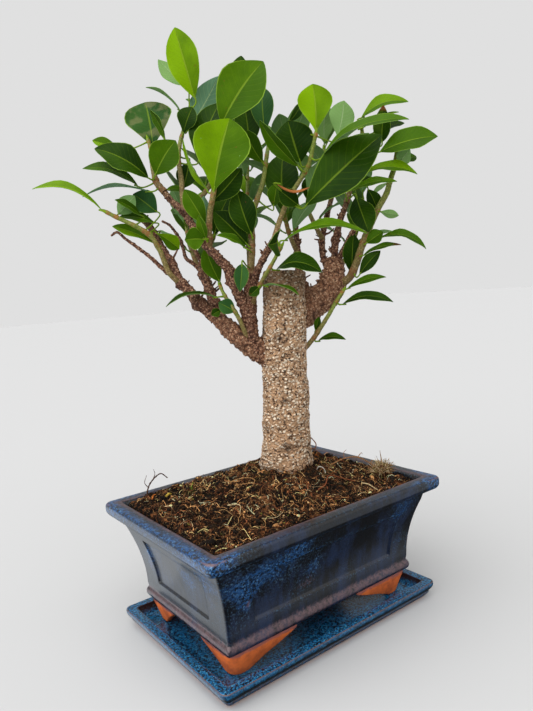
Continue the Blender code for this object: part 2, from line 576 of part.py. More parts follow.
def tube(path, radii, sides, grow=0.0):
    """A closed tube along a path with parallel-transported rings."""
    count = len(path)
    points = [p.copy() for p in path]
    if grow:
        points[0] += (points[0] - points[1]).normalized() * grow
        points[-1] += (points[-1] - points[-2]).normalized() * grow
    tangents = [(points[min(i + 1, count - 1)] - points[max(i - 1, 0)]).normalized() for i in range(count)]
    side = tangents[0].orthogonal().normalized()
    rings = []
    for i in range(count):
        if i:
            side = tangents[i - 1].rotation_difference(tangents[i]) @ side
        other = tangents[i].cross(side)
        rings.append([points[i] + (radii[i] + grow) * (math.cos(math.tau * k / sides) * side
                                                      + math.sin(math.tau * k / sides) * other)
                      for k in range(sides)])
    return loft(rings)


def tube_solid(name, path, radii, sides, mat, grow=0.0, helper=False):
    """A tube of the tree as an object in the pot's frame."""
    verts, faces = tube(path, radii, sides, grow)
    return solid(name, [TREE @ Vector(v) for v in verts], faces, mat, helper)


def bvh(verts, faces):
    """A search tree over a millimetre mesh, for overlap tests."""
    return BVHTree.FromPolygons([Vector(v) for v in verts], faces)


class Stem:
    """One woody piece or the stem of one shoot, in the tree's frame."""

    def __init__(self, name, ends, points, sides=6):
        self.name = name
        self.sides = sides
        self.path = smooth_path(points)
        self.radii = radii_along(self.path, ends, name)
        self.search = bvh(*tube(self.path, self.radii, sides, grow=GAP))

    def nearest(self, point):
        """The nearest place on the stem's centre line."""
        best = None
        for a, b in zip(self.path, self.path[1:]):
            run = b - a
            t = min(1.0, max(0.0, (point - a).dot(run) / run.length_squared))
            place = a + run * t
            if best is None or (place - point).length < (best - point).length:
                best = place
        tip, before = self.path[-1], self.path[-2]
        if (best - tip).length < TIP_SETBACK:
            best = tip + (before - tip).normalized() * TIP_SETBACK
        return best

    def build(self, mat, earlier):
        """The stem's solid, cut back to clear the earlier pieces that it springs from."""
        item = tube_solid(self.name, self.path, self.radii, self.sides, mat)
        for other in earlier:
            if self.search.overlap(other.search):
                cutter = tube_solid(f"{self.name}_seat_on_{other.name}", other.path, other.radii,
                                    other.sides, mat, grow=GAP, helper=True)
                boolean(item, cutter, "DIFFERENCE")
        settle_mesh(item)
        return item


# --- leaves -----------------------------------------------------------------------------------
class Leaf:
    """One leaf: a stalk from the stem to the blade's foot, and a blade of lens section."""

    def __init__(self, shoot, foot, tip, width, roll, arch, form):
        self.shoot = shoot
        self.foot = Vector(foot)
        self.tip = Vector(tip)
        self.width = width
        self.roll = roll
        self.arch = arch
        self.form = form

    def moved(self, depth, roll):
        """A copy with its tip moved in depth and its face turned."""
        tip = self.tip + Vector((0, depth, 0))
        turned = None if self.roll is UP else self.roll + roll
        return Leaf(self.shoot, self.foot, tip, self.width, turned, self.arch, self.form)

    def frame(self):
        """The blade's own axes: run, side and face."""
        run = (self.tip - self.foot).normalized()
        if self.roll is UP:
            face = Vector((0, 0, 1)) - run * run.z
            if face.length < 0.2:
                face = Vector((0, -1, 0)) - run * -run.y
            face.normalize()
        else:
            front = Vector((0, -1, 0)) - run * -run.y
            front.normalize()
            face = Matrix.Rotation(math.radians(-self.roll), 3, run) @ front
        return run, run.cross(face), face

    def blade_point(self, t):
        """The midrib at a share t of the blade's run."""
        run, _, face = self.frame()
        length = (self.tip - self.foot).length
        return self.foot + run * length * t + face * self.arch * length * (4 * t * (1 - t))

    def half_width(self, t):
        """Half the blade's width at t."""
        return 0.5 * self.width * max(0.0, math.sin(math.pi * t ** self.form)) ** 0.8

    def mesh(self, margin=0.0, blade_only=False):
        """The leaf's closed loft; margin fattens it for overlap tests."""
        run, side, face = self.frame()
        foot = self.foot
        start = self.shoot.nearest(foot)
        if (foot - start).length < STALK_LEAST:
            foot = foot + run * STALK_LEAST
        rings = []
        if not blade_only:
            stalk_run = (foot - start).normalized()
            turn = run.rotation_difference(stalk_run)
            rings.append(self.section(start, turn @ side, turn @ face, STALK_ROOT, STALK_ROOT))
            half_turn = Quaternion().slerp(turn, 0.5)
            rings.append(self.section(foot, half_turn @ side, half_turn @ face, STALK_RADIUS,
                                      STALK_RADIUS + margin))
        for t in BLADE_STATIONS:
            rings.append(self.section(self.blade_point(t), side, face, self.half_width(t) + margin,
                                      BLADE_THICK / 2 + margin))
        verts, faces = loft(rings, cap_last=False)
        apex = len(verts)
        verts.append(self.tip + run * margin)
        last = (len(rings) - 1) * 4
        for i in range(4):
            faces.append((last + i, last + (i + 1) % 4, apex))
        return verts, faces

    def section(self, centre, side, face, half, thick):
        """A four-sided lens across the leaf, slightly folded along the midrib."""
        fold = BLADE_FOLD * half if half > STALK_RADIUS * 2 else 0.0
        return [centre + side * half + face * fold, centre + face * thick,
                centre - side * half + face * fold, centre - face * thick]


def back_leaves(stem, count, first, length):
    """Leaves set round a far-side stem by the golden turn, tilted outwards and up."""
    leaves = []
    for i in range(count):
        t = 0.3 + 0.7 * i / (count - 1)
        at = stem.path[min(len(stem.path) - 1, int(t * (len(stem.path) - 1) + 0.5))]
        turn = math.radians(first + GOLDEN_TURN * i)
        lift = math.radians(BACK_LIFT[0] + BACK_LIFT[1] * t)
        way = Vector((math.cos(turn) * math.cos(lift), math.sin(turn) * math.cos(lift), math.sin(lift)))
        size = length * (0.82 + 0.18 * math.cos(i * 2.1))
        foot = at + way * BACK_STALK
        leaves.append(Leaf(stem, foot, foot + way * size, size * BACK_WIDTH, UP, BACK_ARCH, ELLIPTIC))
    return leaves


def place_leaves(leaves, stems):
    """Move or turn each leaf until it clears the earlier ones; a leaf with no room is left out."""
    placed = []
    for leaf in leaves:
        for roll in ROLL_TRIALS:
            found = None
            for depth in DEPTH_TRIALS:
                trial = leaf.moved(depth, roll)
                if is_clear(trial, placed, stems):
                    found = trial
                    break
            if found:
                placed.append((found, bvh(*found.mesh(0.25)), bvh(*found.mesh(0.25, True))))
                break
    return [entry[0] for entry in placed]


def is_clear(leaf, placed, stems):
    """Whether a leaf clears the stems of other pieces and the leaves already placed."""
    whole = bvh(*leaf.mesh(0.25))
    blade = bvh(*leaf.mesh(0.25, True))
    for stem in stems:
        if stem is not leaf.shoot and whole.overlap(stem.search):
            return False
    for other, other_whole, other_blade in placed:
        if other.shoot is leaf.shoot:
            if blade.overlap(other_blade):
                return False
        elif whole.overlap(other_whole):
            return False
    return True


def build_shoot(stem, leaves, mat, earlier):
    """A shoot's stem with its leaves joined on as one body."""
    item = stem.build(mat, earlier)
    for i, leaf in enumerate(leaves):
        verts, faces = leaf.mesh()
        helper = solid(f"{stem.name}_leaf_{i}", [TREE @ v for v in verts], faces, mat, helper=True)
        boolean(item, helper, "UNION")
    settle_mesh(item)
    return item


def ground(search, x, y):
    """Height of the finished soil below a place, mm."""
    hit = search.ray_cast(Vector((x, y, ABOVE_ALL)) * MM, Vector((0, 0, -1)))
    return hit[0].z / MM


def build_litter(name, radius, points, search, mat):
    """A dry root lying on the soil; its heights are above the soil."""
    lifted = [(x, y, ground(search, x, y) + up) for x, y, up in points]
    path = smooth_path(lifted, step=4.0)
    radii = [radius * (1 - LITTER_THINS * i / (len(path) - 1)) for i in range(len(path))]
    return solid(name, *tube(path, radii, 5), mat)


def build_tuft(search, mat):
    """A dry tuft of moss and fibre, a lumpy ball that sits on the soil."""
    bm = bmesh.new()
    bmesh.ops.create_icosphere(bm, subdivisions=2, radius=1.0)
    x, y = TUFT_AT
    low = max(ground(search, x + dx, y + dy) for dx in (-3, 0, 3) for dy in (-3, 0, 3))
    centre = Vector((x, y, low + TUFT_SIZE[2] + GAP - TUFT_SINK))
    for vert in bm.verts:
        lump = 1 - TUFT_LUMP * (0.5 + 0.5 * math.sin(vert.index * 2.4))
        vert.co = centre + Vector(vert.co[k] * TUFT_SIZE[k] * lump for k in range(3))
    verts = [vert.co.copy() for vert in bm.verts]
    faces = [tuple(vert.index for vert in face.verts) for face in bm.faces]
    bm.free()
    return solid("dry_tuft", verts, faces, mat)


def main():
    """Build the tray, pot, soil and tree."""
    clear_scene()
    blue = material("blue_glaze", (0.012, 0.03, 0.10), 0.12)
    tray_blue = material("tray_glaze", (0.015, 0.05, 0.22), 0.12)
    plastic = material("mesh_plastic", (0.02, 0.02, 0.02), 0.5)
    peat = material("peat", (0.035, 0.022, 0.014), 0.95)
    bark = material("bark", (0.30, 0.19, 0.11), 0.85)
    twig = material("twig_bark", (0.17, 0.07, 0.035), 0.8)
    green = material("leaf_green", (0.10, 0.26, 0.01), 0.35)
    dry = material("dry_wood", (0.22, 0.14, 0.07), 0.85)
    build_tray(tray_blue)
    build_pot(blue)
    build_screen("mesh_screen_left", -DRAIN_AT, plastic)
    build_screen("mesh_screen_right", DRAIN_AT, plastic)
    wood = [Stem(name, ends, points, sides) for name, sides, ends, points in WOOD]
    soil = build_soil(wood[0].path, wood[0].radii, peat)
    search = BVHTree.FromPolygons([v.co for v in soil.data.vertices],
                                  [face.vertices for face in soil.data.polygons])
    for i, stem in enumerate(wood):
        stem.build(bark if stem.name in ("trunk", "limb_left", "limb_right") else twig, wood[:i])
    shoots = [Stem(name, ends, points) for name, ends, points, _ in SHOOTS]
    leaves = [Leaf(stem, *row) for stem, entry in zip(shoots, SHOOTS) for row in entry[3]]
    for name, ends, points, (count, first, length) in BACK_SHOOTS:
        stem = Stem(name, ends, points)
        shoots.append(stem)
        leaves += back_leaves(stem, count, first, length)
    leaves = place_leaves(leaves, wood + shoots)
    for i, stem in enumerate(shoots):
        build_shoot(stem, [leaf for leaf in leaves if leaf.shoot is stem], green, wood + shoots[:i])
    for name, radius, points in LITTER:
        build_litter(name, radius, points, search, dry)
    build_tuft(search, dry)


main()
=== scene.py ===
"""The looks of a small fig bonsai in a glazed pot on its tray.

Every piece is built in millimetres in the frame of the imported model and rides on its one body.
The tree has a frame of its own, turned in the pot and leaning a little: side (to the right),
depth (away from the front) and height, from the foot of the trunk.
"""
import sys

import logging
import math
from dataclasses import dataclass
from enum import Enum
from typing import Any, Callable, Iterable, Sequence

import bmesh
import bpy
import numpy as np
from mathutils import Matrix, Quaternion, Vector, noise
from mathutils.bvhtree import BVHTree


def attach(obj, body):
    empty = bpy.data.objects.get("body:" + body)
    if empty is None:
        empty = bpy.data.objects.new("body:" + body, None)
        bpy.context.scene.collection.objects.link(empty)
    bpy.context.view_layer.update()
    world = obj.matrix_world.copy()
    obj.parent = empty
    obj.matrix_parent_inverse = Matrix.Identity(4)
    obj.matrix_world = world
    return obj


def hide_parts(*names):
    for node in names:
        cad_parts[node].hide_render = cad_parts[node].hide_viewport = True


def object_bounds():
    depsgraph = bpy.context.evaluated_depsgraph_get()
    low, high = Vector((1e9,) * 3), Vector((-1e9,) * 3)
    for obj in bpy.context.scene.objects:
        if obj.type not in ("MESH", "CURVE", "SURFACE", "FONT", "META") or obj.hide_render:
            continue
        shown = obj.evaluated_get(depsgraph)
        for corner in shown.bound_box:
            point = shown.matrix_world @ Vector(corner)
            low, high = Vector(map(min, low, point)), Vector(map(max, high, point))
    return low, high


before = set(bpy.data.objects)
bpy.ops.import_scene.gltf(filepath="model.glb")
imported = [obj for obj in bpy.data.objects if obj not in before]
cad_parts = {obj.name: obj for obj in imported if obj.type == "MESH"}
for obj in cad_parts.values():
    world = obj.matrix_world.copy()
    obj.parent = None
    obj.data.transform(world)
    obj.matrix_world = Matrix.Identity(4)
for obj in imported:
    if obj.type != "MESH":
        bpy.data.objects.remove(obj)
CAD_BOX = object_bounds()

LOG = logging.getLogger("bonsai")
BODY = "root"
MM = 0.001
GAP = 0.3
Colour = tuple[float, float, float, float]
Row = tuple[float, ...]


def paint(red: int, green: int, blue: int) -> Colour:
    """A paint-chart colour, each part 0 to 255, as linear light."""
    parts = [(c / 255 + 0.055) / 1.055 for c in (red, green, blue)]
    return (parts[0] ** 2.4, parts[1] ** 2.4, parts[2] ** 2.4, 1.0)


# --- shader maths -----------------------------------------------------------------------------
class Value:
    """A number that varies over a surface; arithmetic on it adds Math nodes."""

    def __init__(self, graph: "Graph", socket: bpy.types.NodeSocket) -> None:
        """Wrap one output socket of a graph."""
        self.graph = graph
        self.socket = socket

    def math(self, operation: str, *others: Any, clamp: bool = False) -> "Value":
        """Combine this value with others.

        Args:
            operation: The Math node's operation.
            others: Values or numbers for the node's further inputs.
            clamp: Whether the result is held between 0 and 1.

        Returns:
            The node's result.
        """
        return self.graph.math(operation, self, *others, clamp=clamp)

    def __add__(self, other: Any) -> "Value":
        """The sum."""
        return self.math("ADD", other)

    def __radd__(self, other: Any) -> "Value":
        """The sum, from the other side."""
        return self.math("ADD", other)

    def __sub__(self, other: Any) -> "Value":
        """The difference."""
        return self.math("SUBTRACT", other)

    def __rsub__(self, other: Any) -> "Value":
        """The difference, from the other side."""
        return self.graph.math("SUBTRACT", other, self)

    def __mul__(self, other: Any) -> "Value":
        """The product."""
        return self.math("MULTIPLY", other)

    def __rmul__(self, other: Any) -> "Value":
        """The product, from the other side."""
        return self.math("MULTIPLY", other)

    def __pow__(self, other: Any) -> "Value":
        """The power."""
        return self.math("POWER", other)

    def __abs__(self) -> "Value":
        """The size without its sign."""
        return self.math("ABSOLUTE")

    def clamp(self) -> "Value":
        """The value held between 0 and 1."""
        return self.math("ADD", 0.0, clamp=True)

    def ease(self, low: float, high: float) -> "Value":
        """A smooth step from 0 at low to 1 at high.

        Args:
            low: Where the step starts.
            high: Where the step ends; it may lie below low, for a step down.

        Returns:
            The stepped value.
        """
        flip = low > high
        ends = (high, low) if flip else (low, high)
        node = self.graph.node("ShaderNodeMapRange", {"interpolation_type": "SMOOTHSTEP"},
                               {0: self, 1: ends[0], 2: ends[1], 3: 1.0 * flip, 4: 1.0 * (not flip)})
        return Value(self.graph, node.outputs[0])


class Graph:
    """A node tree, and the few kinds of node that the finishes are written in."""

    def __init__(self, tree: bpy.types.NodeTree) -> None:
        """Work on one node tree."""
        self.tree = tree

    def node(self, kind: str, settings: dict[str, Any] | None = None,
             inputs: dict[Any, Any] | None = None) -> bpy.types.Node:
        """Add one node.

        Args:
            kind: The node's type.
            settings: Its settings, which are made first.
            inputs: Values or links for its sockets, by name or place.

        Returns:
            The node.
        """
        made = self.tree.nodes.new(kind)
        for key, setting in (settings or {}).items():
            setattr(made, key, setting)
        for key, given in (inputs or {}).items():
            if isinstance(given, Value):
                given = given.socket
            if isinstance(given, bpy.types.NodeSocket):
                self.tree.links.new(given, made.inputs[key])
            else:
                made.inputs[key].default_value = given
        return made

    def math(self, operation: str, *terms: Any, clamp: bool = False) -> Value:
        """A Math node.

        Args:
            operation: What it does.
            terms: Its inputs in order.
            clamp: Whether the result is held between 0 and 1.

        Returns:
            The result.
        """
        made = self.node("ShaderNodeMath", {"operation": operation, "use_clamp": clamp},
                         dict(enumerate(terms)))
        return Value(self, made.outputs[0])

    def vector(self, operation: str, *terms: Any) -> bpy.types.Node:
        """A Vector Math node."""
        return self.node("ShaderNodeVectorMath", {"operation": operation}, dict(enumerate(terms)))

    def place(self, stretch: Sequence[float] = (1.0, 1.0, 1.0)) -> bpy.types.NodeSocket:
        """Where a point lies in millimetres, stretched along each axis."""
        coords = self.node("ShaderNodeTexCoord").outputs["Object"]
        return self.vector("MULTIPLY", coords, tuple(s / MM for s in stretch)).outputs[0]

    def noise(self, where: Any, scale: float, detail: float = 2.0, roughness: float = 0.5,
              distortion: float = 0.0) -> Value:
        """Cloudy noise.

        Args:
            where: The point to read it at.
            scale: Waves for each unit of where.
            detail: Octaves added.
            roughness: How strong the finer octaves are.
            distortion: How far it is swirled.

        Returns:
            A value round 0.5.
        """
        made = self.node("ShaderNodeTexNoise", None, {
            "Vector": where, "Scale": scale, "Detail": detail, "Roughness": roughness,
            "Distortion": distortion})
        return Value(self, made.outputs[0])

    def sway(self, where: Any, scale: float, far: float) -> bpy.types.NodeSocket:
        """A point moved about by noise."""
        made = self.node("ShaderNodeTexNoise", None, {"Vector": where, "Scale": scale})
        swing = self.vector("SUBTRACT", made.outputs["Color"], (0.5, 0.5, 0.5)).outputs[0]
        moved = self.vector("MULTIPLY", swing, (far, far, far)).outputs[0]
        return self.vector("ADD", where, moved).outputs[0]

    def cells(self, where: Any, scale: float, feature: str = "F1") -> Value:
        """The distance measure of a cell pattern."""
        made = self.node("ShaderNodeTexVoronoi", {"feature": feature}, {"Vector": where, "Scale": scale})
        return Value(self, made.outputs["Distance"])

    def held(self, name: str) -> tuple[Value, Value, Value, Value]:
        """The four numbers that a mesh holds at each point under a name."""
        made = self.node("ShaderNodeAttribute", {"attribute_name": name})
        parts = self.node("ShaderNodeSeparateColor", None, {0: made.outputs["Color"]})
        return (*(Value(self, part) for part in parts.outputs), Value(self, made.outputs["Alpha"]))

    def mix(self, share: Any, first: Any, second: Any, blend: str = "MIX") -> bpy.types.NodeSocket:
        """Blend two colours.

        Args:
            share: How much of the second.
            first: The first colour.
            second: The second colour.
            blend: How they are combined.

        Returns:
            The blended colour.
        """
        made = self.node("ShaderNodeMix", {"data_type": "RGBA", "blend_type": blend, "clamp_factor": True},
                         {0: share, 6: first, 7: second})
        return made.outputs[2]

    def bump(self, height: Value, distance: float, strength: float = 1.0,
             under: Any = None) -> bpy.types.NodeSocket:
        """Relief from a height.

        Args:
            height: The height, in units of distance.
            distance: How far 1 stands up, in millimetres.
            strength: How much of it is felt.
            under: A normal that this one is laid over.

        Returns:
            The bent normal.
        """
        inputs = {"Strength": strength, "Distance": distance * MM, "Height": height}
        if under is not None:
            inputs["Normal"] = under
        return self.node("ShaderNodeBump", None, inputs).outputs[0]


class Surface(Graph):
    """The graph of one material, round its Principled shader."""

    def __init__(self, name: str) -> None:
        """Start a material."""
        self.material = bpy.data.materials.new(name)
        self.material.use_nodes = True
        super().__init__(self.material.node_tree)
        self.shader = self.tree.nodes["Principled BSDF"]

    def dress(self, **sockets: Any) -> bpy.types.Material:
        """Feed the shader.

        Args:
            sockets: Values or links, named as the sockets with spaces as underlines.

        Returns:
            The finished material.
        """
        names = {"".join(s.name.split()).lower(): s for s in self.shader.inputs}
        for key, given in sockets.items():
            socket = names[key.replace("_", "").lower()]
            if isinstance(given, Value):
                given = given.socket
            if isinstance(given, bpy.types.NodeSocket):
                self.tree.links.new(given, socket)
            else:
                socket.default_value = given
        return self.material


# --- finishes ---------------------------------------------------------------------------------
@dataclass(frozen=True)
class Glaze:
    """A running stoneware glaze over terracotta.

    The mesh holds "zones" at each point: how bright, how broken to brown, how bare.
    """

    name: str
    deep: Colour
    cloud: Colour
    bright: Colour
    pale: Colour
    broken: Colour
    clay: Colour
    mottle_scale: float
    base_bright: float

    def build(self) -> bpy.types.Material:
        """Make the material."""
        g = Surface(self.name)
        bright, broken, bare, _ = g.held("zones")
        place = g.place()
        drift = g.noise(place, 0.035, 3.0, 0.6, 0.6)
        run = g.noise(g.place((1.0, 1.0, 0.25)), 0.22, 3.0, 0.6)
        mottle = g.noise(place, self.mottle_scale, 4.0, 0.75)
        fleck = g.noise(place, self.mottle_scale * 2.3, 2.0, 0.6)
        speck = g.noise(place, self.mottle_scale * 1.5, 3.0, 0.8)
        clouds = (drift * 0.6 + run * 0.4).ease(0.44, 0.66)
        colour = g.mix(clouds, self.deep, self.cloud)
        # The bright share is mostly the glaze's own paler blue; on the pot's left lip it is a painted
        # reflection.
        lit = (bright * 1.25 + self.base_bright + (mottle - 0.5) * 1.3 + (drift - 0.5) * 0.5).ease(0.38, 0.74)
        lit = lit * (bright * 1.3 + self.base_bright).clamp()
        colour = g.mix(lit, colour, self.bright)
        colour = g.mix((fleck.ease(0.54, 0.66) * bright * 0.9).clamp(), colour, self.pale)
        colour = g.mix((speck.ease(0.52, 0.45) * (bright * 1.6)).clamp() * 0.97, colour, self.deep)
        edge = (broken + (mottle - 0.5) * 0.9).ease(0.42, 0.78)
        colour = g.mix(edge * 0.85, colour, self.broken)
        grit = g.noise(place, 2.6, 3.0, 0.7)
        clay = g.mix(grit.ease(0.35, 0.65), self.clay, g.mix(0.45, self.clay, paint(120, 56, 30)))
        naked = (bare + (mottle - 0.5) * 0.35).ease(0.45, 0.62)
        colour = g.mix(naked, colour, clay)
        relief = g.bump(mottle + drift * 2.0 + run * 1.5, 0.09, 0.8)
        relief = g.bump(grit * naked, 0.08, 0.8, relief)
        return g.dress(
            Base_Color=colour, Roughness=(0.22 + fleck * 0.16 + edge * 0.12 + naked * 0.40).clamp(),
            Normal=relief, IOR=1.5, Coat_Weight=(1.0 - naked) * 0.35, Coat_Roughness=0.14)


@dataclass(frozen=True)
class Terracotta:
    """Bare fired clay with a mauve wash of glaze down from the top.

    The mesh holds "zones" at each point: the wash in the first part.
    """

    name: str = "terracotta"
    clay: Colour = paint(238, 122, 56)
    dark: Colour = paint(190, 92, 48)
    wash: Colour = paint(150, 96, 92)

    def build(self) -> bpy.types.Material:
        """Make the material."""
        g = Surface(self.name)
        washed, _, _, _ = g.held("zones")
        place = g.place()
        patch = g.noise(place, 0.16, 3.0, 0.6)
        grit = g.noise(place, 2.2, 3.0, 0.7)
        colour = g.mix(patch.ease(0.35, 0.70), self.clay, self.dark)
        colour = g.mix(grit.ease(0.62, 0.72) * 0.5, colour, paint(226, 140, 90))
        spill = (washed + (patch - 0.5) * 0.9).ease(0.45, 0.9)
        colour = g.mix(spill * 0.85, colour, self.wash)
        return g.dress(Base_Color=colour, Roughness=(0.55 - spill * 0.25 + grit * 0.15).clamp(),
                       Normal=g.bump(grit + patch, 0.07, 0.7), Coat_Weight=spill * 0.5, Coat_Roughness=0.15)


@dataclass(frozen=True)
class Peat:
    """Loose peat: painted near-black shade in its hollows, rust and tan crumbs, a tint of moss.

    The mesh holds "tint" at each point: its height above the smooth bed, which sets the painted shade, and
    how much moss.
    """

    name: str = "peat"
    hollow: Colour = paint(9, 5, 3)
    crumb: Colour = paint(84, 50, 28)
    rust: Colour = paint(150, 92, 50)
    moss: Colour = paint(92, 96, 32)

    def build(self) -> bpy.types.Material:
        """Make the material."""
        g = Surface(self.name)
        height, moss, _, _ = g.held("tint")
        place = g.place()
        coarse = g.noise(place, 0.35, 4.0, 0.7)
        fine = g.noise(place, 1.7, 4.0, 0.75)
        speck = g.cells(place, 1.1)
        # Painted shade: near black where the bed lies low, and also where the noise dips.
        raised = fine * 1.1 + coarse * 0.8 + height * 0.8 - 0.98
        colour = g.mix(raised.ease(0.24, 0.56), self.hollow, self.crumb)
        colour = g.mix(coarse.ease(0.52, 0.70) * 0.6, colour, self.rust)
        colour = g.mix(speck.ease(0.24, 0.14) * fine.ease(0.48, 0.58), colour, paint(196, 160, 108))
        colour = g.mix((moss * fine.ease(0.42, 0.60)).clamp(), colour, self.moss)
        return g.dress(Base_Color=colour, Roughness=0.82 + fine * 0.15,
                       Normal=g.bump(fine + coarse, 0.5, 1.0), Specular_IOR_Level=0.12)


@dataclass(frozen=True)
class Tinted:
    """Small loose things, each of its own colour, held by the mesh as "tint"; on the peat's crumbs and fibres
    it carries painted shade and light.
    """

    name: str
    roughness: float = 0.8

    def build(self) -> bpy.types.Material:
        """Make the material."""
        g = Surface(self.name)
        tint = g.node("ShaderNodeAttribute", {"attribute_name": "tint"}).outputs["Color"]
        place = g.place()
        grain = g.noise(place, 1.9, 3.0, 0.7)
        colour = g.mix(grain.ease(0.60, 0.36) * 0.7, tint, paint(18, 10, 6))
        colour = g.mix(grain.ease(0.60, 0.75) * 0.3, colour, paint(214, 188, 146))
        return g.dress(Base_Color=colour, Roughness=self.roughness - grain * 0.15,
                       Normal=g.bump(grain, 0.12, 0.7), Specular_IOR_Level=0.15)


@dataclass(frozen=True)
class Bark:
    """Tan bark with raised pale pores, dark creases and darker scars.

    The mesh holds "bark" at each point: pore, scar, crease and how dark the top is.
    """

    name: str = "trunk_bark"
    ground: Colour = paint(214, 170, 131)
    pore: Colour = paint(255, 238, 214)
    crease: Colour = paint(54, 31, 20)
    scar: Colour = paint(48, 32, 24)

    def build(self) -> bpy.types.Material:
        """Make the material."""
        g = Surface(self.name)
        pore, scar, crease, top = g.held("bark")
        flat = g.place((1.0, 1.0, 1.3))
        place = g.place()
        patch = g.noise(place, 0.10, 3.0, 0.6)
        broken = g.noise(place, 0.45, 3.0, 0.65)
        grain = g.noise(flat, 1.1, 4.0, 0.75)
        bent = g.sway(flat, 0.45, 2.6)
        web = g.cells(bent, 0.46, "DISTANCE_TO_EDGE")
        pebble = g.cells(bent, 0.46)
        colour = g.mix(patch.ease(0.38, 0.66), self.ground, paint(194, 154, 118))
        light = pore * 0.5 + pebble.ease(0.50, 0.15) * 0.9 + (grain - 0.5) * 1.4 + (broken - 0.5) * 1.6 - 0.10
        colour = g.mix(light.ease(0.12, 0.72), colour, self.pore)
        cracks = web.ease(0.19, 0.05) * broken.ease(0.54, 0.38) * 1.1
        shade = cracks + (0.44 - grain) * 2.0 + crease * 0.2 * (1.0 - pore)
        colour = g.mix(shade.ease(0.12, 0.80) * 0.94, colour, self.crease)
        colour = g.mix((top * (grain + 0.35)).clamp() * 0.75, colour, paint(92, 70, 46))
        colour = g.mix(scar, colour, self.scar)
        relief = grain * 1.2 + pore * 0.4 - pebble * 1.2 + web.ease(0.0, 0.25) * 1.6
        return g.dress(Base_Color=colour, Roughness=0.70 + grain * 0.22, Normal=g.bump(relief, 0.5, 1.0),
                       Specular_IOR_Level=0.35)


@dataclass(frozen=True)
class Wood:
    """Bark of limbs and twigs, from red-brown wood to a green young stem.

    The mesh holds "wood" at each point: age (0 green, 1 brown), roughness of the bark, and
    how near a leaf scar lies.
    """

    name: str = "twig_bark"
    young: Colour = paint(122, 142, 40)
    middle: Colour = paint(128, 112, 60)
    brown: Colour = paint(124, 80, 58)
    dark: Colour = paint(48, 26, 17)
    dot: Colour = paint(208, 170, 138)
    dot_scale: float = 0.8

    def build(self) -> bpy.types.Material:
        """Make the material."""
        g = Surface(self.name)
        age, rough, scar, _ = g.held("wood")
        place = g.place()
        patch = g.noise(place, 0.28, 3.0, 0.6)
        grain = g.noise(place, 1.8, 4.0, 0.7)
        dots = g.cells(place, self.dot_scale)
        turn = (age + (patch - 0.5) * 0.5).clamp()
        colour = g.mix(turn.ease(0.05, 0.50), self.young, self.middle)
        colour = g.mix(turn.ease(0.45, 0.85), colour, self.brown)
        darker = grain.ease(0.55, 0.38) * (0.15 + rough) + dots.ease(0.55, 0.85) * rough * 0.8
        colour = g.mix(darker.clamp(), colour, self.dark)
        paler = dots.ease(0.50, 0.24) * (0.06 + turn * 0.70) * grain.ease(0.42, 0.56)
        colour = g.mix(paler, colour, self.dot)
        healed = scar * 0.8 * (1.0 - turn * 0.9) * patch.ease(0.40, 0.58)
        colour = g.mix(healed.clamp(), colour, paint(166, 92, 40))
        colour = g.mix((scar * turn * 0.5).clamp(), colour, self.dark)
        return g.dress(Base_Color=colour, Roughness=0.42 + turn * 0.35 + grain * 0.10,
                       Normal=g.bump(grain * (0.3 + rough) - dots * 0.5, 0.16, 0.9), Specular_IOR_Level=0.4)


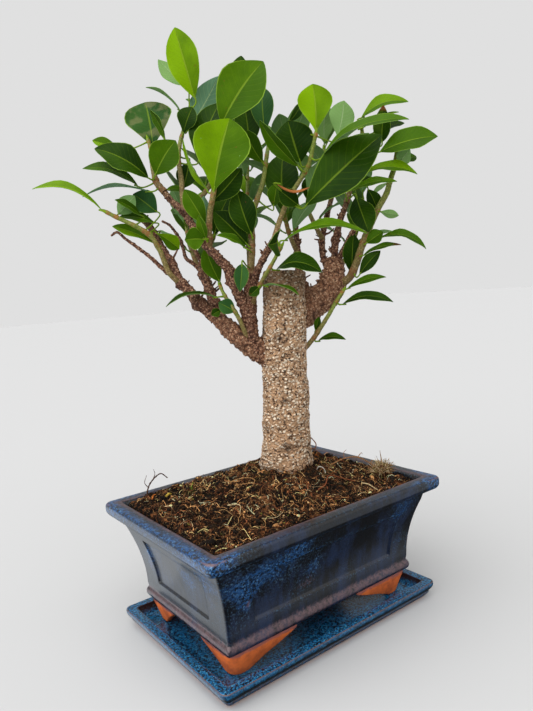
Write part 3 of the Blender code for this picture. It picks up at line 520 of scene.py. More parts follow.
@dataclass(frozen=True)
class LeafSkin:
    """Waxy fig leaf, green above and pale grey-green below, with a paler rib and margin.

    The mesh holds "blade" (across, along, side of the leaf) and "look" (youth, painted bluish sheen,
    blemish, a number of its own) at each point.
    """

    name: str = "fig_leaf"
    dark: Colour = paint(22, 48, 2)
    middle: Colour = paint(62, 98, 2)
    young: Colour = paint(124, 166, 2)
    rib: Colour = paint(132, 160, 44)
    margin: Colour = paint(150, 184, 62)
    bloom: Colour = paint(46, 92, 54)
    below: Colour = paint(104, 144, 88)
    below_blue: Colour = paint(92, 132, 108)
    brown: Colour = paint(118, 66, 34)
    tan: Colour = paint(190, 168, 124)

    def build(self) -> bpy.types.Material:
        """Make the material."""
        g = Surface(self.name)
        across_raw, along, under, _ = g.held("blade")
        # blue: the share of painted bluish sheen, a reflection of the sky.
        youth, blue, blemish, own = g.held("look")
        across = abs(across_raw * 2.0 - 1.0)
        side = across_raw.ease(0.47, 0.53)
        place = g.place()
        patch = g.noise(place, 0.12, 2.0, 0.5)
        cellular = g.noise(place, 2.4, 3.0, 0.6)
        # Painted shade: one half of each blade, on one side of the rib, is darker, as if the fold turned it
        # from the light.
        tone = youth + (patch - 0.5) * 0.22 - side * (0.08 + youth * 0.18)
        tone = (tone + (cellular - 0.5) * 0.10 + (along - 0.5) * 0.06).clamp()
        colour = g.mix(tone.ease(0.0, 0.55), self.dark, self.middle)
        colour = g.mix(tone.ease(0.50, 1.0), colour, self.young)
        # Painted sheen: a bluish reflection of the sky laid into the colour.
        colour = g.mix((blue * (0.75 + (patch - 0.5))).clamp() * 0.8, colour, self.bloom)
        wave = (along * 11.0 - across * 2.6 + own).math("PINGPONG", 0.5)
        vein = wave.ease(0.10, 0.0) * across.ease(0.98, 0.75)
        colour = g.mix(vein * 0.07, colour, self.rib)
        rib = (across * (1.0 + along * 1.6)).ease(0.115, 0.035)
        colour = g.mix(rib * (0.35 + youth * 0.35), colour, self.rib)
        edge = across.ease(0.945, 0.99)
        colour = g.mix(edge * (0.45 + youth * 0.35), colour, self.margin)
        # The underside's painted bluish sheen.
        lower = g.mix(blue.ease(0.1, 0.7), self.below, self.below_blue)
        lower = g.mix((youth * 0.5).clamp(), lower, paint(150, 186, 96))
        lower = g.mix(vein * 0.25 + rib * 0.6, lower, paint(168, 194, 142))
        colour = g.mix(under, colour, lower)
        dry = blemish.ease(0.92, 0.99)
        tipped = (blemish.ease(0.70, 0.80) * (along + (patch - 0.5) * 0.12).ease(0.80, 0.92)).clamp()
        blotch = blemish.ease(0.40, 0.55) * blemish.ease(0.80, 0.70)
        blotch = blotch * (patch + (cellular - 0.5) * 0.2).ease(0.50, 0.62)
        spot = g.noise(place, 0.55, 1.0, 0.5).ease(0.76, 0.80)
        colour = g.mix(blotch.clamp() * 0.18, colour, self.tan)
        colour = g.mix((tipped + spot * 0.5).clamp() * 0.9, colour, self.brown)
        colour = g.mix(dry, colour, paint(168, 104, 58))
        height = vein * -0.5 - rib * 1.4 + cellular * 0.25
        return g.dress(
            Base_Color=colour, Roughness=(0.32 + under * 0.25 + cellular * 0.10 + dry * 0.2).clamp(),
            Normal=g.bump(height, 0.14, 0.8), Specular_IOR_Level=0.05)


@dataclass(frozen=True)
class MeshPlastic:
    """Black moulded plastic with a fine matte texture."""

    name: str = "mesh_plastic_black"
    colour: Colour = paint(28, 28, 30)

    def build(self) -> bpy.types.Material:
        """Make the material."""
        g = Surface(self.name)
        grain = g.noise(g.place(), 3.0, 2.0)
        return g.dress(Base_Color=g.mix(grain * 0.3, self.colour, paint(62, 60, 58)),
                       Roughness=0.45 + grain * 0.2, Normal=g.bump(grain, 0.05, 0.6))


@dataclass(frozen=True)
class Floor:
    """A plain pale matt floor."""

    name: str = "pale_floor"
    colour: Colour = paint(202, 203, 205)

    def build(self) -> bpy.types.Material:
        """Make the material."""
        g = Surface(self.name)
        haze = g.noise(g.place(), 0.004, 2.0)
        return g.dress(Base_Color=g.mix(haze * 0.2, self.colour, paint(200, 201, 203)), Roughness=0.9,
                       Specular_IOR_Level=0.1)


# --- meshes -----------------------------------------------------------------------------------
@dataclass
class Shape:
    """A mesh as it is gathered: points in millimetres, faces, and numbers held at each point."""

    name: str
    sharp: float = 40.0

    def __post_init__(self) -> None:
        """Start with nothing."""
        self.verts: list[Vector] = []
        self.faces: list[tuple[int, ...]] = []
        self.held: dict[str, list[Colour]] = {}

    def add(self, verts: Iterable[Vector], faces: Iterable[Sequence[int]], **held: list[Colour]) -> None:
        """Gather one more patch.

        Args:
            verts: Its points.
            faces: Its faces, counted from its own first point.
            held: For each held name, one colour for each point.
        """
        start = len(self.verts)
        self.verts.extend(verts)
        self.faces.extend(tuple(start + i for i in face) for face in faces)
        for key, rows in held.items():
            self.held.setdefault(key, []).extend(rows)

    def make(self, material: bpy.types.Material, slot: str, *nodes: str,
             fill: Callable[[bmesh.types.BMesh], None] | None = None) -> bpy.types.Object:
        """Turn the shape into a piece of the model.

        Args:
            material: Its finish.
            slot: The record's slot that it stands in; it is not used.
            nodes: The CAD nodes that it stands for.
            fill: What closes the mesh before it is used.

        Returns:
            The piece, riding on the model's body.
        """
        mesh = bpy.data.meshes.new(self.name)
        mesh.from_pydata([v * MM for v in self.verts], [], self.faces)
        for key, rows in self.held.items():
            layer = mesh.attributes.new(key, "FLOAT_COLOR", "POINT")
            layer.data.foreach_set("color", np.array(rows, np.float32).ravel())
        bm = bmesh.new()
        bm.from_mesh(mesh)
        if fill:
            fill(bm)
        bmesh.ops.recalc_face_normals(bm, faces=bm.faces)
        bm.to_mesh(mesh)
        bm.free()
        mesh.materials.append(material)
        mesh.shade_smooth()
        mesh.set_sharp_from_angle(angle=math.radians(self.sharp))
        item = bpy.data.objects.new(self.name, mesh)
        bpy.context.scene.collection.objects.link(item)
        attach(item, BODY)
        if nodes:
            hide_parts(*nodes)
        LOG.info("%s: %d faces", self.name, len(mesh.polygons))
        return item


def ease(value: float, low: float, high: float) -> float:
    """A smooth step from 0 at low to 1 at high."""
    t = min(1.0, max(0.0, (value - low) / (high - low)))
    return t * t * (3 - 2 * t)


def rounded(profile: Sequence[tuple[float, float]], radius: float) -> list[tuple[float, float]]:
    """Round the corners of an open profile.

    Args:
        profile: Its points.
        radius: How far from a corner the rounding starts.

    Returns:
        The points of the rounded profile.
    """
    out = [profile[0]]
    for before, here, after in zip(profile, profile[1:], profile[2:]):
        a, b, c = Vector(before), Vector(here), Vector(after)
        if (a - b).angle(b - c, 0.0) < 0.14:
            out.append(here)
            continue
        p = b + (a - b).normalized() * min(radius, (a - b).length * 0.45)
        q = b + (c - b).normalized() * min(radius, (c - b).length * 0.45)
        for step in range(4):
            t = step / 3
            out.append(tuple(p.lerp(b, t).lerp(b.lerp(q, t), t)))
    out.append(profile[-1])
    return out


@dataclass
class Ring:
    """How a rounded rectangle is divided: its half sizes, corner and the marks along its sides."""

    half: tuple[float, float]
    corner: float
    marks: Row = ()
    middle: int = 24
    arc: int = 12

    def at(self, offset: float, height: float) -> list[Vector]:
        """The ring at one offset and height.

        Args:
            offset: How far it stands out from the half sizes.
            height: Its height.

        Returns:
            Its points, right round.
        """
        hx, hy = self.half[0] + offset, self.half[1] + offset
        radius = max(self.corner + offset * 0.6, 1.5)
        points = []
        for quarter, (sx, sy) in enumerate(((1, 1), (-1, 1), (-1, -1), (1, -1))):
            for step in range(self.arc + 1):
                angle = math.radians(90 * quarter + 90 * step / self.arc)
                points.append(Vector((sx * (hx - radius) + radius * math.cos(angle),
                                      sy * (hy - radius) + radius * math.sin(angle), height)))
            along_x = quarter % 2 == 0
            reach = hx if along_x else hy
            last = reach - (self.marks[-1] if self.marks else radius)
            places = [reach - mark for mark in self.marks]
            places += [last - 2 * last * k / (self.middle + 1) for k in range(1, self.middle + 1)]
            places += [mark - reach for mark in reversed(self.marks)]
            for place in places:
                travel = place if quarter < 2 else -place
                points.append(Vector((travel, sy * hy, height) if along_x else (sx * hx, travel, height)))
        return points


def loft(rings: Sequence[Sequence[Vector]], caps: bool = True) -> tuple[list[Vector], list[tuple[int, ...]]]:
    """Join equal rings with quads.

    Args:
        rings: The rings in order.
        caps: Whether the first and last are closed.

    Returns:
        The points and the faces.
    """
    count = len(rings[0])
    verts = [p for one in rings for p in one]
    faces: list[tuple[int, ...]] = []
    for level in range(len(rings) - 1):
        for i in range(count):
            j = (i + 1) % count
            low, high = level * count, (level + 1) * count
            faces.append((low + i, low + j, high + j, high + i))
    if caps:
        faces.append(tuple(reversed(range(count))))
        faces.append(tuple(range((len(rings) - 1) * count, len(rings) * count)))
    return verts, faces


def smooth_path(points: Sequence[Row], step: float = 7.0) -> list[Vector]:
    """A Catmull-Rom curve through the points.

    Args:
        points: The points it passes.
        step: About how far apart its samples are.

    Returns:
        The samples, from the first point to the last.
    """
    pts = [Vector(p) for p in points]
    pts = [2 * pts[0] - pts[1]] + pts + [2 * pts[-1] - pts[-2]]
    curve = []
    for i in range(1, len(pts) - 2):
        a, b, c, d = pts[i - 1:i + 3]
        pieces = max(1, round((c - b).length / step))
        for k in range(pieces):
            t = k / pieces
            curve.append(0.5 * (2 * b + (c - a) * t + (2 * a - 5 * b + 4 * c - d) * t * t
                                + (3 * b - a - 3 * c + d) * t ** 3))
    curve.append(pts[-2])
    return curve


def tube(path: Sequence[Vector], radii: Sequence[float], sides: int, grow: float = 0.0,
         relief: Callable[[int, Vector, Vector], float] | None = None,
         dome: float = 0.0) -> tuple[list[Vector], list[tuple[int, ...]]]:
    """A closed tube along a path.

    Args:
        path: Its centre line.
        radii: Its radius at each point of the path.
        sides: Points round it.
        grow: Added to its radius and both ends.
        relief: Added to the radius for a ring number, a centre and an outward direction.
        dome: How far its last end bulges, as a share of the radius.

    Returns:
        The points and the faces.
    """
    count = len(path)
    points = [p.copy() for p in path]
    if grow:
        points[0] += (points[0] - points[1]).normalized() * grow
        points[-1] += (points[-1] - points[-2]).normalized() * grow
    ways = [(points[min(i + 1, count - 1)] - points[max(i - 1, 0)]).normalized() for i in range(count)]
    side = ways[0].orthogonal().normalized()
    rings = []
    for i in range(count):
        if i:
            side = ways[i - 1].rotation_difference(ways[i]) @ side
        other = ways[i].cross(side)
        one = []
        for k in range(sides):
            out = math.cos(math.tau * k / sides) * side + math.sin(math.tau * k / sides) * other
            radius = radii[i] + grow + (relief(i, points[i], out) if relief else 0.0)
            one.append(points[i] + radius * out)
        rings.append(one)
    if dome:
        last, centre = rings[-1], points[-1]
        for share in (0.8, 0.45, 0.12):
            lift = ways[-1] * radii[-1] * dome * math.sqrt(1 - share * share)
            rings.append([centre + (p - centre) * share + lift for p in last])
    return loft(rings)


def search_tree(verts: Sequence[Vector], faces: Sequence[Sequence[int]]) -> BVHTree:
    """A search tree over a mesh, for overlap tests."""
    return BVHTree.FromPolygons([Vector(v) for v in verts], faces)


# --- tray and pot -----------------------------------------------------------------------------
@dataclass
class Tray:
    """The glazed tray: a flat rim, a groove round its wall, a bare underside."""

    half: tuple[float, float] = (71.0, 50.5)
    corner: float = 3.6
    floor: float = 4.5
    rounding: float = 0.7
    glaze: Glaze = Glaze("tray_glaze_blue", paint(4, 10, 18), paint(6, 34, 54), paint(10, 100, 154),
                         paint(92, 172, 200), paint(88, 62, 60), paint(204, 104, 54), 0.55, 0.16)

    def profile(self) -> list[tuple[float, float]]:
        """Offset and height along the tray's section, from the underside to the floor."""
        outside = ((-6.0, 0.0), (-4.6, 0.6), (-2.0, 3.6), (-2.4, 4.6), (-0.8, 5.8), (0.0, 7.4), (0.0, 9.1))
        inside = ((-0.6, 9.6), (-4.8, 9.6), (-5.4, 9.2), (-7.4, 5.2), (-8.6, self.floor))
        return rounded(outside + inside, self.rounding)

    def zones(self, step: int, offset: float, height: float) -> Colour:
        """How bright, broken and bare the glaze is at a place of the section.

        Args:
            step: The place's number along the section.
            offset: Its offset.
            height: Its height.

        Returns:
            The four numbers that the glaze reads.
        """
        if step < 4:
            return (0.0, 0.0, 1.0, 1.0)
        rim = ease(height, 9.2, 9.5) * ease(offset, -5.2, -4.6)
        lower = ease(-height, -4.4, -3.4) if offset > -4.5 else 0.0
        edge = math.exp(-((offset + 0.15) ** 2 + (height - 9.35) ** 2) / 0.16)
        edge += 0.8 * math.exp(-((offset + 5.1) ** 2 + (height - 9.45) ** 2) / 0.10)
        edge += 0.8 * math.exp(-((height - 3.6) / 0.5) ** 2) * (offset > -3)
        recess = 0.25 + ease(-height, -7.0, -4.6) * 0.5 if offset < -6 else 0.0
        bright = 1.0 * rim + 1.0 * lower + recess + 0.45 * ease(height, 5.8, 8.0) * (offset > -1)
        return (min(1.0, bright), min(1.0, edge), 0.9 * ease(-height, -1.6, -0.6), 1.0)

    def build(self) -> None:
        """Make the tray."""
        ring = Ring(self.half, self.corner)
        section = self.profile()
        rings, zones = [], []
        for step, (offset, height) in enumerate(section):
            points = ring.at(offset, height)
            for p in points:
                if step > 4:
                    p.z += 0.07 * noise.noise(p * 0.16)
            rings.append(points)
            zones += [self.zones(step, offset, height)] * len(points)
        shape = Shape("glazed_tray", 55)
        shape.add(*loft(rings), zones=zones)
        shape.make(self.glaze.build(), "tray_glaze", "tray")


@dataclass
class Pot:
    """The glazed pot: bead, flared wall with a sunk panel on each side, lip, and clay feet."""

    half: tuple[float, float] = (75.0, 54.5)
    corner: float = 3.6
    base: float = 16.5
    inner_floor: float = 21.0
    rim: float = 70.0
    wall_low: tuple[float, float] = (-14.4, 25.0)
    wall_high: tuple[float, float] = (-7.8, 57.0)
    wall_hollow: float = 1.56
    panel_depth: float = 1.1
    panel_levels: tuple[float, float] = (29.0, 53.0)
    panel_margin: float = 15.0
    panel_edge: float = 1.2
    drain_at: float = 30.0
    drain_radius: float = 5.0
    foot_half: tuple[float, float] = (60.2, 39.7)
    foot_thick: float = 6.0
    glaze: Glaze = Glaze("pot_glaze_navy", paint(8, 9, 15), paint(24, 40, 70), paint(26, 76, 130),
                         paint(98, 146, 184), paint(106, 80, 86), paint(204, 104, 54), 0.5, 0.0)

    def wall(self, height: float) -> float:
        """Offset of the flared wall at a height."""
        t = (height - self.wall_low[1]) / (self.wall_high[1] - self.wall_low[1])
        straight = self.wall_low[0] + (self.wall_high[0] - self.wall_low[0]) * t
        return straight - self.wall_hollow * 4 * t * (1 - t)

    def inside(self) -> tuple[tuple[float, float], ...]:
        """Offset and height down the inside of the pot."""
        return ((-7.0, self.rim), (-8.2, 69.2), (-12.4, 60.0), (-15.8, 46.0), (-18.4, 32.0),
                (-20.0, self.inner_floor))

    def profile(self) -> list[tuple[float, float]]:
        """Offset and height along the pot's section, from its underside to its inner floor."""
        bead = [(-16.0, self.base), (-14.0, 17.6), (-13.4, 19.4), (-13.8, 21.2), (-14.8, 22.4)]
        levels = [self.wall_low[1] + k for k in (0, 2, 3.2)]
        low, high = self.panel_levels
        levels += [low - 0.2 + 0.35 * k for k in range(6)] + [32 + 2.25 * k for k in range(9)]
        levels += [high - 1.55 + 0.35 * k for k in range(6)] + [55.0, self.wall_high[1]]
        lip = [(-6.8, 60.4), (-5.8, 62.0), (-1.2, 63.4), (0.0, 65.4), (0.0, 68.8), (-1.0, self.rim)]
        section = bead + [(self.wall(z), z) for z in levels] + lip + list(self.inside())
        return rounded(section, 0.7)

    def sink(self, point: Vector, offset: float) -> float:
        """How far the panel is sunk at a point of the wall.

        Args:
            point: The point.
            offset: The wall's offset there.

        Returns:
            The depth, 0 off the panel.
        """
        low, high = self.panel_levels
        hx, hy = self.half[0] + offset, self.half[1] + offset
        end = hx - abs(point.x) if abs(abs(point.y) - hy) < 0.01 else hy - abs(point.y)
        e = self.panel_edge
        return (self.panel_depth * ease(end, self.panel_margin, self.panel_margin + e)
                * ease(point.z, low, low + e) * ease(-point.z, -high, e - high))

    def zones(self, step: int, point: Vector, outside: bool) -> Colour:
        """How bright, broken and bare the glaze is at a point.

        Args:
            step: Its place in the section.
            point: The point.
            outside: Whether it lies on the outside of the pot.

        Returns:
            The three shares.
        """
        z = point.z
        if not outside:
            return (0.22 * ease(z, 66.0, 69.6), 0.6 * ease(z, 69.0, 69.9), ease(-z, -66.5, -62.0), 1.0)
        ends = (self.half[0] - abs(point.x), self.half[1] - abs(point.y))
        near_corner = math.exp(-(max(ends) / 15.0) ** 2)
        lip = ease(z, 61.6, 63.4)
        top = ease(z, 69.2, 69.9)
        edge = math.exp(-((z - 69.5) / 0.7) ** 2) + 0.75 * math.exp(-((z - 62.9) / 0.8) ** 2) * (step > 30)
        bright = lip * (0.04 + 0.6 * near_corner) + top * (0.12 + 0.4 * near_corner) + 0.22 * near_corner
        patchy = ease(noise.noise(point * 0.05 + Vector((3.1, 0, 0))), 0.05, 0.4)
        cloud = math.exp(-((point.x + 38) / 26) ** 2 - ((z - 52) / 10) ** 2) * (point.y < 0)
        bright += (0.44 * patchy + 0.62 * cloud) * ease(z, 24.0, 44.0) * (1 - lip)
        # Painted reflection: the lip of the left end is made brighter blue, where the bright window to the
        # left shines in the glaze.
        left = ease(-point.x, 60.0, 72.0)
        bright += 0.42 * left * lip + 0.12 * top
        ends = sorted((self.half[0] - 12 - abs(point.x), self.half[1] - 12 - abs(point.y)))
        low, high = self.panel_levels
        beside = math.exp(-((ends[1] - self.panel_margin + 1.0) / 0.9) ** 2)
        beside = beside * ease(z, low, low + 1) * ease(-z, -high, 1 - high)
        across = math.exp(-((z - high - 0.3) / 0.8) ** 2) + math.exp(-((z - low + 0.3) / 0.8) ** 2)
        framed = max(beside, across * ease(ends[1], 13.0, 16.0))
        bright += 0.30 * framed
        broken = edge * (0.15 + 0.60 * near_corner) + 0.64 * math.exp(-((z - 21.0) / 5.0) ** 2) + 0.2 * framed
        broken += 0.5 * patchy * math.exp(-((z - 36.0) / 7.0) ** 2)
        return (min(1.0, bright), min(1.0, broken), ease(-z, -18.0, -16.9), 1.0)

    def build_body(self) -> None:
        """Make the glazed body with its two drain holes."""
        marks = (12.6, 13.8, 14.6, 15.0, 15.3, 15.6, 15.9, 16.2, 16.6, 17.6)
        ring = Ring(self.half, self.corner, marks, 26, 14)
        rings: list[list[Vector]] = []
        zones: list[Colour] = []
        section = self.profile()
        top = max(range(len(section)), key=lambda i: section[i][1])
        for step, (offset, z) in enumerate(section):
            points = ring.at(offset, z)
            inner = 0 < step < len(section) - 1
            for p in points:
                on_panel = self.panel_levels[0] < z < self.panel_levels[1] and step < top
                depth = self.sink(p, offset) if on_panel else 0.0
                if depth:
                    on_front = abs(abs(p.y) - (self.half[1] + offset)) < 0.01
                    if on_front:
                        p.y -= math.copysign(depth, p.y)
                    else:
                        p.x -= math.copysign(depth, p.x)
                if inner:
                    p += p.normalized() * 0.12 * noise.noise(p * 0.09)
                zones.append(self.zones(step, p, step <= top))
            rings.append(points)
        shape = Shape("glazed_pot", 50)
        shape.add(*loft(rings, caps=False), zones=zones)
        for side in (-1, 1):
            drain = [[Vector((side * self.drain_at + self.drain_radius * math.cos(math.tau * i / 32),
                              self.drain_radius * math.sin(math.tau * i / 32), z)) for i in range(32)]
                     for z in (self.base, self.inner_floor)]
            shape.add(*loft(drain, caps=False), zones=[(0.0, 0.0, 1.0, 1.0)] * 64)
        shape.make(self.glaze.build(), "blue_glaze", "pot", fill=self.close_floor)

    def close_floor(self, bm: bmesh.types.BMesh) -> None:
        """Fill the underside and the inner floor round the drain holes."""
        for level in (self.base, self.inner_floor):
            edges = [e for e in bm.edges if e.is_boundary
                     and all(abs(v.co.z / MM - level) < 0.01 for v in e.verts)]
            bmesh.ops.triangle_fill(bm, edges=edges, use_beauty=True)

    def build_feet(self) -> None:
        """Make the four clay feet, each with two arms that rise in an ogee."""
        steps = ((4.8, 3.4, 13.0, 12.0), (8.5, 2.4, 21.0, 16.0), (12.0, 1.4, 31.0, 21.0),
                 (15.4, 0.4, 39.0, 26.0), (17.4, 0.0, 40.0, 27.0))
        levels = smooth_path([(z, back, ax) for z, back, ax, _ in steps], 0.9)
        shape = Shape("clay_feet", 35)
        arms_y = [row[3] for row in steps]
        heights = [row[0] for row in steps]
        for sx in (-1, 1):
            for sy in (-1, 1):
                rings, washed = [], []
                for z, back, arm_x in levels:
                    arm_y = float(np.interp(z, heights, arms_y))
                    flat = self.foot_outline(back, arm_x, arm_y)
                    rings.append([Vector((sx * x, sy * y, z)) for x, y in flat])
                    washed += [(ease(z, 12.0, 17.5), 0.0, 0.0, 1.0)] * len(flat)
                shape.add(*loft(rings), zones=washed)
        shape.make(Terracotta().build(), "blue_glaze", "pot")

    def foot_outline(self, back: float, arm_x: float, arm_y: float) -> list[tuple[float, float]]:
        """The plan of a foot, with rounded corners.

        Args:
            back: How far its face is set back.
            arm_x: Length of the arm along X.
            arm_y: Length of the arm along Y.

        Returns:
            The plan's points.
        """
        hx, hy = self.foot_half[0] - back, self.foot_half[1] - back
        in_x, in_y = self.foot_half[0] - self.foot_thick, self.foot_half[1] - self.foot_thick
        end_x, end_y = self.foot_half[0] - arm_x, self.foot_half[1] - arm_y
        corners = [Vector(p) for p in ((hx - 3, hy), (hx, hy - 3), (hx, end_y), (in_x, end_y), (in_x, in_y),
                                       (end_x, in_y), (end_x, hy))]
        sizes = (1.6, 1.6, 1.2, 0.8, 1.0, 0.8, 1.2)
        plan = []
        for k, (b, size) in enumerate(zip(corners, sizes)):
            a, c = corners[k - 1], corners[(k + 1) % len(corners)]
            p, q = b + (a - b).normalized() * size, b + (c - b).normalized() * size
            for i in range(4):
                t = i / 3
                plan.append(tuple(p.lerp(b, t).lerp(b.lerp(q, t), t)))
        return plan

    def build(self) -> None:
        """Make the body and the feet, and finish the drainage mesh."""
        self.build_body()
        self.build_feet()
        black = MeshPlastic().build()
        for name in ("mesh_screen_left", "mesh_screen_right"):
            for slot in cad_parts[name].material_slots:
                slot.material = black


# --- soil -------------------------------------------------------------------------------------
WALL_GAP = 0.35                # between the block and the pot's wall
BLOCK_BOTTOM = 22.5
BLOCK_SHOULDER = 66.2
BLOCK_EDGE = -9.75
BLOCK_RINGS = 58               # rings of the crumbly top, from its edge inwards
SOIL_DIVISIONS = (40, 12)
TRUNK_AT = (20.0, 11.0)
TRUNK_ROOM = 14.0              # loose pieces stay this far from the trunk's heart
EDGE_ROOM = 11.5
CORNER_ROOM = 5.0
FIBRE_REACH = (63.0, 42.5)     # the furthest a fibre's points go from the middle


@dataclass
class SoilBed:
    """The block of peat, its crumbs and its fibres."""

    pot: Pot
    edge: float = 67.6
    mounds: tuple[Row, ...] = ((20.0, 11.0, 24.0, 11.0), (-38.0, 20.0, 22.0, 6.0))
    hollows: tuple[Row, ...] = ((-38.8, 32.8, 4.5, 4.5), (-26.0, 27.0, 3.0, 2.2), (-8.0, -22.0, 6.0, 1.6),
                                (4.0, 16.0, 4.0, 2.5), (-14.0, 20.0, 3.5, 2.5), (30.0, -12.0, 3.5, 1.8))
    lump: float = 0.5
    crumbs: int = 7500
    fibres: int = 4200
    seed: int = 7

    def base_height(self, x: float, y: float) -> float:
        """Height of the soil without its fine relief.

        Args:
            x: The place across.
            y: The place from front to back.

        Returns:
            The height.
        """
        height = self.edge
        for mx, my, spread, rise in self.mounds:
            height += rise * math.exp(-((x - mx) ** 2 + (y - my) ** 2) / (2 * spread ** 2))
        lumps = math.sin(x * 0.41 + 1.3) * math.sin(y * 0.37 + 0.4) + 0.6 * math.sin(x * 0.83 - y * 0.71)
        return height + self.lump * lumps

    def height(self, x: float, y: float) -> float:
        """Height of the soil with its crumbs and hollows.

        Args:
            x: The place across.
            y: The place from front to back.

        Returns:
            The height.
        """
        height = self.base_height(x, y)
        for hx, hy, spread, depth in self.hollows:
            height -= depth * math.exp(-((x - hx) ** 2 + (y - hy) ** 2) / (2 * spread ** 2))
        p = Vector((x, y, 0.0))
        height += 1.7 * noise.noise(p * 0.16) + 1.5 * noise.noise(p * 0.38) + 1.1 * noise.noise(p * 0.9)
        return height + 0.5 * abs(noise.noise(p * 2.1))

    def ring(self, offset: float, z: float) -> list[Vector]:
        """The pot's outline at an offset and height, as finely divided as the soil."""
        return Ring(self.pot.half, self.pot.corner, (), *SOIL_DIVISIONS).at(offset, z)

    def moss(self, x: float, y: float) -> float:
        """How mossy the soil is at a place: near the trunk and at the back."""
        near = math.exp(-((x - 46) ** 2 + (y - 20) ** 2) / 420)
        near += 0.7 * math.exp(-((x + 40) ** 2 + (y - 25) ** 2) / 160)
        near += 0.5 * math.exp(-((x - 4) ** 2 + (y - 6) ** 2) / 90)
        return min(1.0, near) * ease(noise.noise(Vector((x, y, 5.0)) * 0.14), -0.25, 0.35)

    def build_block(self, material: bpy.types.Material) -> None:
        """Make the block: a closed body with a dense crumbly top.

        Args:
            material: What it is made of.
        """
        rings, tint = [], []
        for offset, z in reversed(self.pot.inside()[2:]):
            rings.append(self.ring(offset - WALL_GAP, max(z, BLOCK_BOTTOM)))
        rings.append(self.ring(BLOCK_EDGE, BLOCK_SHOULDER))
        # The sides hold a low height, so the peat's finish paints them in near-black shade.
        tint += [(0.1, 0.0, 0.0, 1.0)] * sum(len(r) for r in rings)
        edge = self.ring(BLOCK_EDGE, 0.0)
        for k in range(BLOCK_RINGS):
            shrink = 0.996 - k / BLOCK_RINGS
            one = []
            for p in edge:
                x, y = p.x * shrink, p.y * shrink
                z = self.height(x, y)
                one.append(Vector((x, y, z)))
                # The first number is the height above the smooth bed, which the finish turns into painted
                # shade in the hollows.
                tint.append((0.35 + 0.25 * (z - self.base_height(x, y)), self.moss(x, y), 0.0, 1.0))
            rings.append(one)
        shape = Shape("peat_block", 180)
        shape.add(*loft(rings), tint=tint)
        shape.make(material, "peat", "soil")

    def spots(self, rng: np.random.Generator, count: int) -> list[tuple[float, float]]:
        """Places spread over the soil, clear of the trunk.

        Args:
            rng: Where the places come from.
            count: How many.

        Returns:
            The places, across and from front to back.
        """
        hx, hy = self.pot.half[0] - EDGE_ROOM, self.pot.half[1] - EDGE_ROOM
        spots = []
        while len(spots) < count:
            x, y = float(rng.uniform(-hx, hx)), float(rng.uniform(-hy, hy))
            in_corner = abs(x) > hx - CORNER_ROOM and abs(y) > hy - CORNER_ROOM
            if math.hypot(x - TRUNK_AT[0], y - TRUNK_AT[1]) < TRUNK_ROOM or in_corner:
                continue
            spots.append((x, y))
        return spots

    def dimmed(self, shade: Colour, x: float, y: float) -> Colour:
        """A colour with painted shade in the hollows and painted light on the lumps, both laid out by noise.
        """
        lumps = noise.noise(Vector((x, y, 2.0)) * 0.24) + 0.5 * noise.noise(Vector((x, y, 9.0)) * 0.7)
        dim = 0.05 + 2.7 * ease(lumps, -0.24, 0.48)
        return (*(min(1.0, part * dim) for part in shade[:3]), 1.0)

    def build_crumbs(self, material: bpy.types.Material) -> None:
        """Make the loose crumbs, each with a shade of its own.

        Args:
            material: What it is made of.
        """
        rng = np.random.default_rng(self.seed)
        shades = [paint(*c) for c in ((12, 7, 4), (30, 18, 11), (88, 56, 34), (128, 88, 54), (20, 12, 8),
                                      (168, 122, 76), (60, 40, 26), (206, 172, 122), (92, 92, 36))]
        odds = np.array([24, 20, 14, 11, 18, 7, 10, 4.0, 3.0])
        bm = bmesh.new()
        bmesh.ops.create_icosphere(bm, subdivisions=1, radius=1.0)
        ball = [v.co.copy() for v in bm.verts]
        faces = [tuple(v.index for v in f.verts) for f in bm.faces]
        bm.free()
        shape = Shape("peat_crumbs", 70)
        for x, y in self.spots(rng, self.crumbs):
            size = float(min(1.7, 0.28 + rng.exponential(0.24)))
            stretch = Vector(rng.uniform(0.55, 1.25, 3))
            turn = Quaternion(Vector(rng.normal(size=3)).normalized(), float(rng.uniform(0, 6.28)))
            centre = Vector((x, y, self.height(x, y) + size * float(rng.uniform(-0.35, 0.35))))
            lumps = rng.uniform(0.72, 1.2, len(ball))
            verts = [centre + turn @ Vector([v[k] * stretch[k] for k in range(3)]) * size * float(lump)
                     for v, lump in zip(ball, lumps)]
            # Each crumb's colour gets painted shade in the hollows and painted light on the lumps.
            shade = self.dimmed(shades[int(rng.choice(len(shades), p=odds / odds.sum()))], x, y)
            shape.add(verts, faces, tint=[shade] * len(verts))
        shape.make(material, "peat", "soil")

    def strand(self, shape: Shape, points: Sequence[Vector], radius: float, shade: Colour,
               taper: float = 0.5) -> None:
        """Add one fibre.

        Args:
            shape: What it is added to.
            points: The points it passes.
            radius: Its radius at the start.
            shade: Its colour.
            taper: The share of its radius lost by its end.
        """
        path = smooth_path([tuple(p) for p in points], 0.8 if radius > 0.23 else 1.8)
        last = len(path) - 1
        radii = [radius * (1 - taper * i / last) * (1 + 0.18 * math.sin(i * 1.9 + radius * 40))
                 for i in range(last + 1)]
        verts, faces = tube(path, radii, 6 if radius > 0.23 else 3)
        shape.add(verts, faces, tint=[shade] * len(verts))

